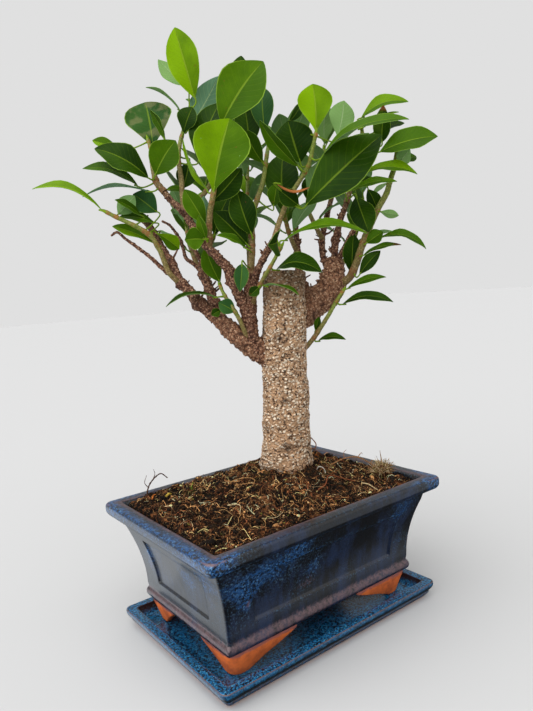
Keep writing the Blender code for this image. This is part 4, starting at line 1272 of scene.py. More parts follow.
    def build_fibres(self, material: bpy.types.Material) -> None:
        """Make the rootlets and bits of straw that lie in the peat.

        Args:
            material: What it is made of.
        """
        rng = np.random.default_rng(self.seed + 1)
        shades = [paint(*c) for c in ((118, 78, 46), (162, 118, 74), (192, 154, 102), (84, 52, 32),
                                      (50, 31, 20), (206, 178, 134), (132, 76, 46))]
        odds = np.array([18, 18, 13, 14, 14, 7, 9])
        shape = Shape("peat_fibres", 80)
        for x, y in self.spots(rng, self.fibres):
            length = float(rng.uniform(1.8, 8.5))
            way = float(rng.uniform(0, math.tau))
            bend = float(rng.normal(0, 0.55))
            lift = float(max(0.0, rng.normal(0.1, 0.7)))
            points = []
            for k in range(4):
                points.append(Vector((x, y, self.height(x, y) + 0.15 + lift * math.sin(math.pi * k / 3)
                                      + float(rng.uniform(-0.2, 0.4)))))
                x = min(max(x + length / 3 * math.cos(way), -FIBRE_REACH[0]), FIBRE_REACH[0])
                y = min(max(y + length / 3 * math.sin(way), -FIBRE_REACH[1]), FIBRE_REACH[1])
                way += bend
            # Each fibre's colour gets painted shade in the hollows and painted light on the lumps.
            self.strand(shape, points, float(rng.uniform(0.08, 0.22)),
                        self.dimmed(shades[int(rng.choice(len(shades), p=odds / odds.sum()))], x, y))
        for radius, shade, taper, points in self.finds():
            self.strand(shape, [Vector((x, y, self.base_height(x, y) + up)) for x, y, up in points],
                        radius * 0.62, shade, taper)
        shape.make(material, "peat", "soil")

    def finds(self) -> tuple[tuple[float, Colour, float, tuple[Row, ...]], ...]:
        """Larger bits on the soil: radius, colour, taper, and places with height above the soil."""
        tan, rust, straw = paint(176, 132, 84), paint(150, 84, 52), paint(208, 184, 140)
        white, yellow, orange = paint(226, 220, 206), paint(212, 180, 74), paint(196, 110, 46)
        green = paint(120, 138, 46)
        return (
            (0.55, tan, 0.3, ((-22, 10, 1.6), (-17, 10, 3.4), (-12, 6, 3.8), (-9, 4, 2.0), (-12, 1, 1.4))),
            (0.45, tan, 0.5, ((-20, 7, 1.5), (-16, 3, 2.4), (-11, 1, 1.6))),
            (0.50, straw, 0.4, ((-34.7, -7.7, 1.2), (-31, -13, 2.0), (-34.5, -18, 1.1))),
            (0.40, white, 0.1, ((24.5, -9.3, 1.4), (24.8, -10.4, 3.6), (25.6, -11.8, 4.6), (26.6, -13.0, 3.4),
                                (26.8, -13.6, 1.3))),
            (0.60, rust, 0.5, ((11, -25, 1.0), (17, -24, 2.4), (23.4, -20, 2.8), (30, -22, 2.2),
                               (35.4, -27.7, 1.4))),
            (0.55, straw, 0.3, ((36, -32, 1.6), (37, -36, 2.0), (35.6, -41, 1.8), (34.0, -45.0, 2.6))),
            (1.10, yellow, 0.4, ((-52, 24.6, 1.3), (-50, 25.4, 2.0), (-48, 26.6, 1.4))),
            (0.90, orange, 0.5, ((-57, 31, 1.2), (-55, 33.4, 2.2), (-53, 34.4, 1.6))),
            (0.80, orange, 0.5, ((46, 16, 1.2), (48.4, 17.6, 2.0), (50, 18, 1.2))),
            (0.45, green, 0.3, ((-38, 22, 1.0), (-37.4, 22.4, 3.0), (-36.0, 23.0, 4.2))),
            (0.45, green, 0.3, ((-37.3, 22, 1.0), (-38.2, 21.0, 2.6), (-40, 20.0, 3.4))),
            (0.40, rust, 0.5, ((38, -2, 1.4), (44, 3, 2.6), (50, 2, 2.0), (55, -3, 1.4))),
            (0.35, tan, 0.4, ((2, 28, 1.4), (8, 33, 2.2), (15, 33, 1.6), (22, 37, 1.4))),
            (0.35, straw, 0.4, ((-30, -30, 1.2), (-24, -33, 1.8), (-18, -31, 1.2))),
        )

    def build(self) -> None:
        """Make the whole bed."""
        self.build_block(Peat().build())
        loose = Tinted("loose_peat", 0.9).build()
        self.build_crumbs(loose)
        self.build_fibres(loose)


# --- the tree ---------------------------------------------------------------------------------
TREE = (Matrix.Translation((20.0, 11.0, 80.0))
        @ Matrix.Rotation(math.radians(-36.8), 4, "Z")
        @ Matrix.Rotation(math.radians(-6.3), 4, "X")
        @ Matrix.Rotation(math.radians(4.2), 4, "Y"))

# Woody pieces: name, sides of the CAD tube, end radii, points from the parent's heart outwards.
WOOD = (
    ("trunk", 14, (15.5, 12.0), (
        (1, 1, -24), (0, 1, -10), (0, 0, 2), (-1, -3, 35), (-2, -5, 66), (-2, -8, 92), (-2, -9, 107))),
    ("limb_left", 9, (8.5, 4.6), (
        (-4, -3, 53), (-12, -5, 60), (-21, -8, 66), (-29, -10, 72), (-37, -12, 79), (-42, -13, 83))),
    ("limb_right", 9, (8.5, 6.5), (
        (2, -3, 78), (12, 2, 87), (20, 5, 93), (26, 8, 101), (28, 9, 110), (28, 9, 116))),
    ("branch_upright", 7, (4.3, 3.2), (
        (-16, -7, 59), (-20, -10, 68), (-21, -12, 83), (-21, -12, 96), (-21, -12, 105))),
    ("branch_left_long", 7, (3.5, 1.8), (
        (-21, -11, 74), (-24, -14, 86), (-29, -17, 97), (-33, -19, 107), (-39, -21, 114),
        (-44, -21, 119), (-51, -20, 129), (-57, -18, 138), (-65, -16, 146), (-68, -15, 150))),
    ("branch_left_low", 7, (3.6, 1.8), (
        (-40, -12, 81), (-49, -14, 89), (-56, -14, 97), (-61, -14, 103), (-65, -13, 111),
        (-70, -12, 119), (-74, -11, 127), (-78, -10, 133), (-83, -9, 138))),
    ("branch_left_back", 7, (3.2, 2.6), (
        (-36, -11, 78), (-41, -6, 88), (-46, -2, 101), (-49, 0, 110), (-47, 2, 117))),
    ("branch_front", 6, (2.2, 1.7), (
        (-20, -12, 93), (-17, -18, 106), (-12, -22, 115), (-8, -26, 122))),
    ("branch_right_dark", 6, (2.6, 1.6), (
        (20, 5, 92), (12, 10, 98), (8, 14, 109), (7, 18, 124), (6, 22, 139), (6, 26, 154))),
    ("branch_right_inner", 6, (2.2, 1.5), (
        (27, 9, 108), (22, 13, 120), (22, 15, 132), (25, 17, 145), (28, 19, 157))),
    ("branch_right_high", 6, (2.3, 1.6), (
        (28, 9, 111), (29, 8, 126), (31, 6, 137), (35, 6, 149))),
    ("stub_right", 6, (1.9, 1.5), (
        (28, 9, 112), (33, 4, 121), (36, 0, 128), (39, -2, 133))),
    ("twig_dead_left", 5, (1.4, 0.7), (
        (-60, -14, 102), (-68, -16, 107), (-77, -18, 115), (-88, -20, 123), (-93, -21, 127),
        (-96, -22, 125))),
    ("twig_dead_fork", 5, (1.4, 0.7), (
        (-48, 0, 107), (-54, 2, 113), (-59, 4, 117), (-61, 6, 123), (-64, 8, 130), (-69, 9, 137),
        (-74, 10, 140))),
    ("stub_left", 5, (1.3, 1.0), ((-48, 1, 113), (-52, 1, 118), (-54, 2, 123))),
)

OBOVATE, ELLIPTIC = 1.6, 1.15
OVATE = 0.85
UP = None


class Look(Enum):
    """How a leaf looks: its youth, its painted bluish sheen and its blemish."""

    Z = (1.0, 0.0, 0.0)
    B = (0.78, 0.0, 0.0)
    L = (0.56, 0.0, 0.0)
    M = (0.45, 0.0, 0.1)
    D = (0.20, 0.0, 0.2)
    # U and O carry a painted bluish sheen.
    U = (0.25, 0.75, 0.0)
    T = (0.30, 0.0, 0.78)
    O = (0.40, 0.65, 0.60)
    Y = (0.30, 0.0, 1.0)


# Leafy shoots: name, radii, stem points, then one row for each leaf:
# blade foot, tip, width, turn of the face (degrees, 0 faces the front), arch, form.
SHOOTS = (
    ("shoot_left_low", (1.6, 1.0), (
        (-57, -14, 98), (-65, -18, 105), (-70, -20, 117), (-75, -22, 125), (-83, -24, 130),
        (-92, -25, 134), (-98, -26, 137)), (
        ((-99, -27, 137), (-135, -32, 148), 12, -60, 0.16, OBOVATE),
        ((-72, -16, 121), (-96, -20, 131), 9, -40, 0.06, OBOVATE),
        ((-92, -24, 136), (-84, -20, 147), 10, 160, 0.05, ELLIPTIC),
        ((-73, -12, 140), (-86, -14, 150), 14, -10, 0.05, ELLIPTIC),
        ((-74, -12, 134), (-92, -22, 137), 9, -45, 0.08, ELLIPTIC),
        ((-81, -16, 137), (-92, -20, 143), 7, -50, 0.08, ELLIPTIC),
        ((-73, -15, 128), (-61, -9, 120), 9, 20, 0.05, OBOVATE))),
    ("shoot_left_end", (1.8, 1.0), (
        (-68.4, -14.9, 150.6), (-73, -14, 156), (-75, -12, 163), (-77, -8, 172), (-78, -4, 178),
        (-80, -3, 184)), (
        ((-73, -18, 159), (-61, -24, 176), 18, 0, 0.05, ELLIPTIC),
        ((-77, -16, 158), (-104, -26, 171), 20, -35, 0.14, ELLIPTIC),
        ((-83, -14, 154), (-111, -24, 161), 12, -50, 0.16, ELLIPTIC),
        ((-76, -18, 150), (-111, -28, 147), 13, -75, 0.10, ELLIPTIC),
        ((-97, -4, 178), (-111, -6, 183), 8, -25, 0.05, ELLIPTIC),
        ((-77, -2, 179), (-83, 4, 209), 28, 0, 0.04, OBOVATE),
        ((-69, -10, 181), (-78, -12, 197), 8, 60, -0.10, ELLIPTIC),
        ((-68, -14, 152), (-58, -12, 153), 5, 30, 0.05, ELLIPTIC))),
    ("shoot_left_high", (1.6, 1.0), (
        (-56, -18, 137), (-58, -17, 146), (-59, -15, 157), (-61, -12, 169), (-61, -8, 179),
        (-59, -4, 190), (-56, 0, 202)), (
        ((-53, -2, 208), (-64, -10, 245), 19, 15, 0.04, ELLIPTIC),
        ((-59, 6, 219), (-77, 14, 238), 11, 165, 0.05, ELLIPTIC),
        ((-62, 4, 203), (-81, -2, 215), 10, -80, 0.10, ELLIPTIC),
        ((-59, -8, 185), (-53, -14, 198), 14, 20, 0.10, OBOVATE),
        ((-58, 2, 191), (-40, 4, 223), 17, 170, 0.05, ELLIPTIC),
        ((-50, -12, 169), (-38, -16, 200), 24, 35, 0.06, ELLIPTIC),
        ((-56, -6, 170), (-59, -8, 155), 12, 10, 0.05, ELLIPTIC))),
    ("shoot_front_left", (1.8, 1.0), (
        (-43, -21, 118), (-43, -24, 124), (-42, -28, 136), (-40, -31, 145), (-38, -28, 162),
        (-37, -26, 176)), (
        ((-40, -32, 145), (-31, -37, 183), 30, -5, 0.03, OBOVATE),
        ((-41, -27, 142), (-25, -30, 159), 13, -20, 0.04, ELLIPTIC),
        ((-36, -28, 183), (-14, -35, 214), 27, 10, 0.05, ELLIPTIC),
        ((-29, -10, 204), (-26, -12, 228), 12, 0, 0.05, ELLIPTIC),
        ((-45, -22, 131), (-56, -26, 149), 11, 10, 0.05, ELLIPTIC),
        ((-45, -27, 122), (-55, -31, 121), 12, 0, 0.03, ELLIPTIC),
        ((-44, -26, 122), (-48, -30, 134), 6, 30, 0.05, ELLIPTIC),
        ((-45, -16, 128), (-47, -12, 149), 9, 160, 0.05, ELLIPTIC),
        ((-43, -30, 147), (-57, -34, 172), 12, 80, 0.05, ELLIPTIC),
        ((-41, -14, 127), (-34, -8, 149), 15, 0, 0.05, ELLIPTIC))),
    ("shoot_front_low", (1.4, 0.9), (
        (-22, -9, 66), (-24, -15, 73), (-27, -17, 80), (-31, -18, 87), (-35, -16, 93),
        (-38, -12, 99)), (
        ((-39, -18, 92), (-66, -26, 87), 8, -70, 0.14, ELLIPTIC),
        ((-29, -18, 84), (-38, -20, 89), 9, -10, 0.05, ELLIPTIC),
        ((-37, -18, 85), (-42, -20, 82), 5, 0, 0.05, ELLIPTIC),
        ((-38, -10, 101), (-46, -14, 120), 11, 0, 0.05, ELLIPTIC))),
    ("shoot_centre", (2.0, 1.0), (
        (-21, -12, 105.5), (-20, -12, 119), (-20, -12, 137), (-17, -10, 148), (-14, -8, 158),
        (-12, -5, 172), (-10, -2, 186)), (
        ((-13, 4, 190), (-15, 8, 220), 14, 10, 0.05, ELLIPTIC),
        ((-14, -8, 169), (-24, -12, 186), 12, 30, 0.08, ELLIPTIC),
        ((-22, 10, 183), (-25, 12, 210), 16, 0, 0.05, ELLIPTIC),
        ((-14, 0, 173), (-22, 4, 183), 9, 0, 0.05, ELLIPTIC),
        ((-20, -18, 126), (-28, -22, 150), 15, 0, 0.05, ELLIPTIC),
        ((-21, -6, 126), (-38, 2, 153), 17, 0, 0.05, ELLIPTIC),
        ((-22, -14, 121), (-41, -12, 140), 14, -10, 0.05, ELLIPTIC),
        ((-23, -22, 118), (-38, -30, 124), 8, -55, 0.10, ELLIPTIC),
        ((-25, -26, 109), (-26, -30, 94), 8, 0, 0.03, OVATE),
        ((-8, -8, 144), (-6, -10, 157), 9, 0, 0.05, ELLIPTIC))),
    ("shoot_middle", (1.6, 1.0), (
        (-8, -25, 121.5), (-5, -18, 133), (-1, -14, 144), (4, -14, 153), (10, -16, 162),
        (12, -18, 167), (14, -20, 176), (15, -21, 181)), (
        ((15, -21, 181), (13, -25, 206), 19, 5, 0.03, OBOVATE),
        ((7, -14, 167), (0, -18, 189), 23, 0, 0.05, ELLIPTIC),
        ((1, 0, 195), (9, 4, 208), 6, -30, 0.05, ELLIPTIC),
        ((6, -22, 162), (-16, -30, 184), 10, 55, 0.06, ELLIPTIC),
        ((9, -22, 141), (48, -34, 176), 27, 20, 0.05, ELLIPTIC),
        ((17, -24, 166), (58, -37, 176), 15, 55, 0.14, ELLIPTIC),
        ((28, -10, 182), (32, -8, 204), 15, 175, 0.04, OBOVATE),
        ((-6, -26, 152), (11, -28, 150), 5, 60, -0.22, ELLIPTIC),
        ((-2, -2, 142), (-2, 6, 180), 20, 0, 0.05, ELLIPTIC),
        ((6, -18, 142), (-5, -24, 150), 10, 20, 0.05, ELLIPTIC))),
    ("shoot_front", (1.3, 0.9), (
        (-20, -12, 87), (-18, -20, 93), (-14, -23, 101), (-9, -26, 109), (-4, -28, 118)), (
        ((-3, -28, 121), (40, -38, 124), 13, 60, 0.14, ELLIPTIC),
        ((-7, -30, 122), (-10, -48, 115), 14, 70, 0.10, ELLIPTIC),
        ((-7, -24, 106), (17, -34, 104), 15, 45, 0.22, ELLIPTIC),
        ((-14, -22, 98), (5, -34, 92), 7, 75, 0.10, ELLIPTIC),
        ((-16, -24, 97), (-21, -27, 92), 6, 0, 0.05, ELLIPTIC))),
    ("shoot_right_high", (1.6, 1.0), (
        (35.2, 6, 149.6), (37, 7, 156), (39, 8, 166), (43, 9, 177), (45, 9, 189), (44, 6, 196)), (
        ((43, 2, 198), (68, -8, 205), 13, 40, 0.14, ELLIPTIC),
        ((43, -2, 191), (63, -8, 198), 7, 60, 0.06, ELLIPTIC),
        ((54, -4, 182), (53, -14, 199), 10, 25, 0.05, OVATE),
        ((50, 4, 190), (69, 4, 197), 9, 40, 0.06, ELLIPTIC),
        ((53, -2, 177), (83, -14, 183), 18, 30, 0.08, ELLIPTIC),
        ((44, 0, 165), (73, -10, 163), 12, 45, 0.14, ELLIPTIC),
        ((40, 3, 158), (50, 3, 164), 8, 30, 0.05, ELLIPTIC),
        ((40, 0, 152), (46, -8, 130), 15, 0, 0.05, ELLIPTIC),
        ((47, 2, 157), (53, 0, 144), 9, 0, 0.10, ELLIPTIC),
        ((35, -8, 153), (60, -16, 157), 9, 50, 0.10, ELLIPTIC))),
    ("shoot_right_long", (2.4, 1.3), (
        (27, 8, 99), (36, 2, 105), (40, 0, 113), (43, -2, 123), (47, -3, 133), (52, -3, 144),
        (57, -3, 153), (59, -3, 160), (62, -3, 170), (64, -2, 183)), (
        ((63, -6, 168), (70, -10, 178), 9, 170, 0.05, ELLIPTIC),
        ((66, -3, 171), (76, -2, 177), 6, 10, 0.05, ELLIPTIC),
        ((53, -5, 142), (63, -8, 139), 5, 170, 0.05, ELLIPTIC),
        ((51, -6, 126), (77, -14, 120), 10, 50, 0.20, ELLIPTIC),
        ((45, -5, 124), (54, -8, 130), 9, 20, 0.05, ELLIPTIC),
        ((43, -5, 117), (63, -12, 123), 6, 55, 0.10, ELLIPTIC),
        ((41, -5, 106), (52, -10, 119), 8, 20, 0.05, ELLIPTIC),
        ((38, 5, 108), (38, 3, 130), 11, 10, 0.05, ELLIPTIC))),
    ("shoot_right_low", (1.5, 1.0), (
        (4, -4, 58), (10, -4, 64), (15, -5, 70), (19, -6, 76), (24, -6, 84), (28, -5, 91),
        (32, -4, 97)), (
        ((17, -6, 68), (32, -14, 69), 6, 50, 0.16, ELLIPTIC),
        ((31, -6, 89), (58, -16, 90), 9, 50, 0.16, ELLIPTIC),
        ((34, -4, 98), (55, -10, 105), 7, 50, 0.10, ELLIPTIC),
        ((16, -4, 74), (18, -6, 82), 4, 0, 0.05, ELLIPTIC))),
)

# The look of each shoot's leaves, in the order of its rows.
LOOKS = {
    "shoot_left_low": "ZBMUMMB", "shoot_left_end": "LDMUBOMM", "shoot_left_high": "ZLMDUDD",
    "shoot_front_left": "BDLDLLLUBD", "shoot_front_low": "DUDL", "shoot_centre": "UMDUDDDLUM",
    "shoot_middle": "ZDDMDLLYDD", "shoot_front": "LDDMD", "shoot_right_high": "BBTDLBDDDL",
    "shoot_right_long": "LMLMMTDD", "shoot_right_low": "DDLD",
}
BACK_LOOKS = "MDLMDBMDUM"

# Shoots on the far side: name, radii, stem points, then count, first turn and length of leaf.
BACK_SHOOTS = (
    ("shoot_back_left", (1.6, 1.0), (
        (-47, -1, 104), (-54, 10, 116), (-60, 20, 132), (-62, 26, 150)), (7, 60, 32)),
    ("shoot_back_centre", (1.6, 1.0), (
        (-21, -12, 100), (-22, 4, 118), (-24, 22, 140), (-24, 34, 164), (-24, 40, 182)), (9, 130, 34)),
    ("shoot_back_right", (1.6, 1.0), (
        (27, 9, 106), (38, 22, 122), (46, 32, 142), (50, 38, 160)), (8, 20, 32)),
    ("shoot_back_inner", (1.6, 1.0), (
        (6, 26, 154.5), (5, 34, 170), (3, 38, 186)), (7, 200, 34)),
    ("shoot_back_high", (1.6, 1.0), (
        (28, 19, 157.5), (27, 24, 172), (24, 26, 188)), (7, 300, 32)),
    ("shoot_inner_low", (1.5, 1.0), (
        (7, 17, 122), (2, 12, 132), (-1, 8, 142), (-3, 6, 150)), (7, 170, 30)),
    ("shoot_inner_right", (1.5, 1.0), (
        (22, 14, 130), (16, 6, 138), (12, 2, 147), (14, 0, 156)), (6, 250, 27)),
    ("shoot_inner_left", (1.5, 1.0), (
        (-47, 2, 117.4), (-44, 7, 128), (-40, 11, 140)), (6, 40, 30)),
    ("shoot_back_top", (1.5, 1.0), (
        (-57, -18, 139), (-48, -4, 152), (-42, 10, 170), (-38, 18, 192)), (8, 90, 34)),
)
STALK_LEAST = 1.5
STALK_RADIUS = 0.6
DEPTH_TRIALS = (0, -3, 3, -6, 6, -9, 9, -12, 12, -16, 16)
ROLL_TRIALS = (0, 15, -15, 30, -30)
LEAF_MARGIN = 0.25             # room kept round each leaf
TIP_CLEARANCE = 1.3            # a stalk leaves its stem at least this far from the tip
GOLDEN_TURN = 137.5            # degrees between one leaf and the next
BARK_STEP = 0.6                # between the rings of a branch


class Stem:
    """One woody piece, or the stem of one shoot, in the tree's frame."""

    def __init__(self, name: str, ends: tuple[float, float], points: Sequence[Row], sides: int = 6) -> None:
        """Lay the stem out as in the CAD model, and what other leaves have to clear.

        Args:
            name: The piece's name.
            ends: Its radii at the two ends.
            points: The points it passes.
            sides: How many sides the CAD model gives it.
        """
        self.name = name
        self.points = points
        self.ends = ends
        self.path = smooth_path(points)
        self.radii = self.radii_for(self.path)
        self.search = search_tree(*tube(self.path, self.radii, sides, GAP))

    def radii_for(self, path: Sequence[Vector]) -> list[float]:
        """Radii from one end of a path to the other.

        Args:
            path: The path.

        Returns:
            One radius for each of its places.
        """
        last = len(path) - 1
        radii = [self.ends[0] + (self.ends[1] - self.ends[0]) * i / last for i in range(last + 1)]
        if self.name == "trunk":
            radii = [self.trunk_radius(p.z) for p in path]
        if self.name == "limb_right":
            radii = [r + 1.6 * math.sin(math.pi * i / last) for i, r in enumerate(radii)]
        return radii

    @staticmethod
    def trunk_radius(height: float) -> float:
        """Radius of the trunk: a root below the soil, a flare, then a slow taper."""
        above = height + 2.0
        if above < 0:
            return max(5.0, 15.3 + above * 0.42)
        return 13.6 - 0.017 * height + 1.7 * math.exp(-above / 9.0)

    def nearest(self, point: Vector) -> Vector:
        """The nearest place on the stem's centre line, clear of its tip.

        Args:
            point: Where to look from.

        Returns:
            The place.
        """
        best = None
        for a, b in zip(self.path, self.path[1:]):
            run = b - a
            t = min(1.0, max(0.0, (point - a).dot(run) / run.length_squared))
            place = a + run * t
            if best is None or (place - point).length < (best - point).length:
                best = place
        tip, before = self.path[-1], self.path[-2]
        if (best - tip).length < TIP_CLEARANCE:
            best = tip + (before - tip).normalized() * TIP_CLEARANCE
        return best


class Leaf:
    """One leaf: a stalk from the stem to the blade's foot, and the blade."""

    def __init__(self, shoot: Stem, foot: Row, tip: Row, width: float, roll: float | None, arch: float,
                 form: float, look: str = "M") -> None:
        """Hold the leaf's place, size and look.

        Args:
            shoot: The stem it grows from.
            foot: The blade's foot.
            tip: The blade's tip.
            width: The blade's width.
            roll: How far its face is turned from the front, in degrees; UP for a leaf that faces the sky.
            arch: How far the rib rises between foot and tip, as a share of the length.
            form: Where the blade is widest.
            look: The letter of its colouring.
        """
        self.shoot = shoot
        self.foot = Vector(foot)
        self.tip = Vector(tip)
        self.width = width
        self.roll = roll
        self.arch = arch
        self.form = form
        self.look = look

    def moved(self, depth: float, roll: float) -> "Leaf":
        """A copy with its tip moved in depth and its face turned."""
        turned = None if self.roll is UP else self.roll + roll
        return Leaf(self.shoot, self.foot, self.tip + Vector((0, depth, 0)), self.width, turned, self.arch,
                    self.form, self.look)

    def axes(self) -> tuple[Vector, Vector, Vector]:
        """The blade's run, side and face."""
        run = (self.tip - self.foot).normalized()
        if self.roll is UP:
            face = Vector((0, 0, 1)) - run * run.z
            if face.length < 0.2:
                face = Vector((0, -1, 0)) - run * -run.y
            face.normalize()
        else:
            front = Vector((0, -1, 0)) - run * -run.y
            front.normalize()
            face = Matrix.Rotation(math.radians(-self.roll), 3, run) @ front
        return run, run.cross(face), face

    def midrib(self, t: float) -> Vector:
        """The midrib at a share t of the blade's run."""
        run, _, face = self.axes()
        length = (self.tip - self.foot).length
        return self.foot + run * length * t + face * self.arch * length * (4 * t * (1 - t))

    def half_width(self, t: float) -> float:
        """Half the blade's width at t."""
        return 0.5 * self.width * max(0.0, math.sin(math.pi * t ** self.form)) ** 0.8

    def lens(self, margin: float, blade_only: bool = False) -> tuple[list[Vector], list[tuple[int, ...]]]:
        """The leaf's closed loft in the CAD model, fattened for overlap tests.

        Args:
            margin: How much it is fattened.
            blade_only: Whether the stalk is left off.

        Returns:
            The points and the faces.
        """
        run, side, face = self.axes()
        foot = self.foot
        start = self.shoot.nearest(foot)
        if (foot - start).length < STALK_LEAST:
            foot = foot + run * STALK_LEAST
        rings = []
        if not blade_only:
            turn = run.rotation_difference((foot - start).normalized())
            rings.append(self.section(start, turn @ side, turn @ face, 0.35, 0.35))
            half_turn = Quaternion().slerp(turn, 0.5)
            rings.append(self.section(foot, half_turn @ side, half_turn @ face, STALK_RADIUS,
                                      STALK_RADIUS + margin))
        for t in (0.16, 0.42, 0.68, 0.88):
            rings.append(self.section(self.midrib(t), side, face, self.half_width(t) + margin, 0.45 + margin))
        verts, faces = loft(rings)
        faces.pop()
        apex = len(verts)
        verts.append(self.tip + run * margin)
        last = (len(rings) - 1) * 4
        faces += [(last + i, last + (i + 1) % 4, apex) for i in range(4)]
        return verts, faces

    @staticmethod
    def section(centre: Vector, side: Vector, face: Vector, half: float, thick: float) -> list[Vector]:
        """A four-sided lens across the leaf."""
        fold = 0.16 * half if half > STALK_RADIUS * 2 else 0.0
        return [centre + side * half + face * fold, centre + face * thick,
                centre - side * half + face * fold, centre - face * thick]

    def grow(self, shape: Shape, rng: np.random.Generator) -> None:
        """Add the leaf as it looks: a thin folded blade with a sunk rib, and a curved stalk.

        Args:
            shape: What it is added to.
            rng: Where its small differences come from.
        """
        # blue is the share of painted bluish sheen.
        youth, blue, blemish = Look[self.look].value
        own = float(rng.uniform(0, 1))
        youth = min(1.0, max(0.0, youth + float(rng.uniform(-0.06, 0.06))))
        look = (youth, blue, blemish, own)
        run, side, face = self.axes()
        length = (self.tip - self.foot).length
        fold = float(rng.uniform(0.10, 0.24)) * (2.2 if self.look == "Y" else 1.0)
        phase, waves = own * math.tau, float(rng.uniform(1.2, 2.2))
        droop, sway = float(rng.uniform(0.0, 0.06)), float(rng.uniform(-0.03, 0.03))
        start = self.shoot.nearest(self.foot)
        foot = self.foot + run * STALK_LEAST if (self.foot - start).length < STALK_LEAST else self.foot
        columns = (-1.0, -0.86, -0.62, -0.36, -0.14, 0.0, 0.14, 0.36, 0.62, 0.86, 1.0)
        rows = [0.5 - 0.5 * math.cos(math.pi * k / 16) for k in range(1, 16)]
        ends = (foot, self.blade(1.0, 0.0, side, face, length, fold, phase, waves, droop, sway))
        upper, lower = [], []
        for t in rows:
            for u in columns:
                p = self.blade(t, u, side, face, length, fold, phase, waves, droop, sway)
                half = self.half_width(t)
                groove = 0.10 * math.exp(-(u * half / 0.5) ** 2)
                ridge = 0.30 * (1 - 0.7 * t) * math.exp(-(u * half / 0.55) ** 2)
                upper.append((p - face * groove, u, t))
                lower.append((p - face * (0.16 + 0.16 * (1 - u * u) + ridge), u, t))
        self.add_blade(shape, upper, lower, ends, len(columns), len(rows), look)
        self.add_stalk(shape, start, foot, run, look)

    def blade(self, t: float, u: float, side: Vector, face: Vector, length: float, fold: float,
              phase: float, waves: float, droop: float, sway: float) -> Vector:
        """A place on the blade.

        Args:
            t: Share of the run from foot to tip.
            u: Share across, -1 to 1.
            side: The direction across.
            face: The direction it faces.
            length: Its length.
            fold: How far it is folded up about the rib.
            phase: Where its margin's waves start.
            waves: How many waves.
            droop: How far the tip bends back.
            sway: How far the rib bends sideways.

        Returns:
            The place, in the tree's frame.
        """
        half = self.half_width(t)
        centre = self.midrib(t) - face * droop * length * t ** 3
        centre = centre + side * sway * length * math.sin(math.pi * t)
        lift = fold * half * abs(u) ** 1.3
        wave = 0.09 * half * u * abs(u) * math.sin(waves * math.tau * t + phase + (1.3 if u > 0 else 0.0))
        return centre + side * half * u + face * (lift + wave)

    @staticmethod
    def add_blade(shape: Shape, upper: list[tuple[Vector, float, float]],
                  lower: list[tuple[Vector, float, float]], ends: tuple[Vector, Vector], across: int,
                  rows: int, look: Colour) -> None:
        """Join the two skins of a blade at its margin, foot and tip.

        Args:
            shape: What it is added to.
            upper: Points of the upper skin, row by row, with their places.
            lower: Points of the lower skin.
            ends: The foot and the tip.
            across: Points in a row.
            rows: Number of rows.
            look: The look held at each point.
        """
        verts, held = [], []
        for skin, below in ((upper, 0.0), (lower, 1.0)):
            for p, u, t in skin:
                verts.append(TREE @ p)
                held.append((0.5 + 0.5 * u, t, below, 1.0))
            for end, t in zip(ends, (0.0, 1.0)):
                verts.append(TREE @ (end if not below else end + (lower[0][0] - upper[0][0])))
                held.append((0.5, t, below, 1.0))
        stride = across * rows + 2
        faces = []
        for base, flip in ((0, False), (stride, True)):
            skin_faces = []
            for r in range(rows - 1):
                for c in range(across - 1):
                    i = base + r * across + c
                    skin_faces.append((i, i + 1, i + across + 1, i + across))
            foot, tip = base + stride - 2, base + stride - 1
            for c in range(across - 1):
                skin_faces.append((foot, base + c + 1, base + c))
                last = base + (rows - 1) * across + c
                skin_faces.append((tip, last, last + 1))
            faces += [tuple(reversed(f)) for f in skin_faces] if flip else skin_faces
        rim = [stride - 2] + [r * across for r in range(rows)] + [stride - 1]
        rim += [r * across + across - 1 for r in reversed(range(rows))]
        for a, b in zip(rim, rim[1:] + rim[:1]):
            faces.append((a, b, b + stride, a + stride))
        shape.add(verts, faces, blade=held, look=[look] * len(verts))

    def add_stalk(self, shape: Shape, start: Vector, foot: Vector, run: Vector, look: Colour) -> None:
        """Add the curved stalk, which thickens where it leaves the stem.

        Args:
            shape: What it is added to.
            start: Where it leaves the stem.
            foot: The blade's foot.
            run: The blade's run.
            look: The look held at each point.
        """
        reach = (foot - start).length
        bend = foot - run * min(2.0, reach * 0.4)
        sag = Vector((0, 0, -0.05 * reach))
        path = smooth_path([tuple(start), tuple(start.lerp(bend, 0.5) + sag), tuple(bend),
                            tuple(foot + run * min(2.5, 0.1 * (self.tip - foot).length))], 1.2)
        last = len(path) - 1
        radii = [0.42 + 0.42 * math.exp(-i * 1.2 / 1.5) + 0.08 * (i == last) for i in range(last + 1)]
        verts, faces = tube(path, radii, 7)
        shape.add([TREE @ v for v in verts], faces, blade=[(0.5, 0.0, 0.0, 1.0)] * len(verts),
                  look=[(min(1.0, look[0] * 0.6 + 0.42), 0.0, 0.0, look[3])] * len(verts))


def back_leaves(stem: Stem, count: int, first: float, length: float) -> list[Leaf]:
    """Leaves set round a far-side stem by the golden turn, tilted outwards and up.

    Args:
        stem: The stem.
        count: How many.
        first: The first leaf's turn, in degrees.
        length: The blade's length.

    Returns:
        The leaves.
    """
    leaves = []
    for i in range(count):
        t = 0.3 + 0.7 * i / (count - 1)
        at = stem.path[min(len(stem.path) - 1, int(t * (len(stem.path) - 1) + 0.5))]
        turn = math.radians(first + GOLDEN_TURN * i)
        lift = math.radians(15.0 + 45.0 * t)
        way = Vector((math.cos(turn) * math.cos(lift), math.sin(turn) * math.cos(lift), math.sin(lift)))
        size = length * (0.82 + 0.18 * math.cos(i * 2.1))
        foot = at + way * 4.0
        leaves.append(Leaf(stem, foot, foot + way * size, size * 0.52, UP, 0.08, ELLIPTIC, BACK_LOOKS[i]))
    return leaves


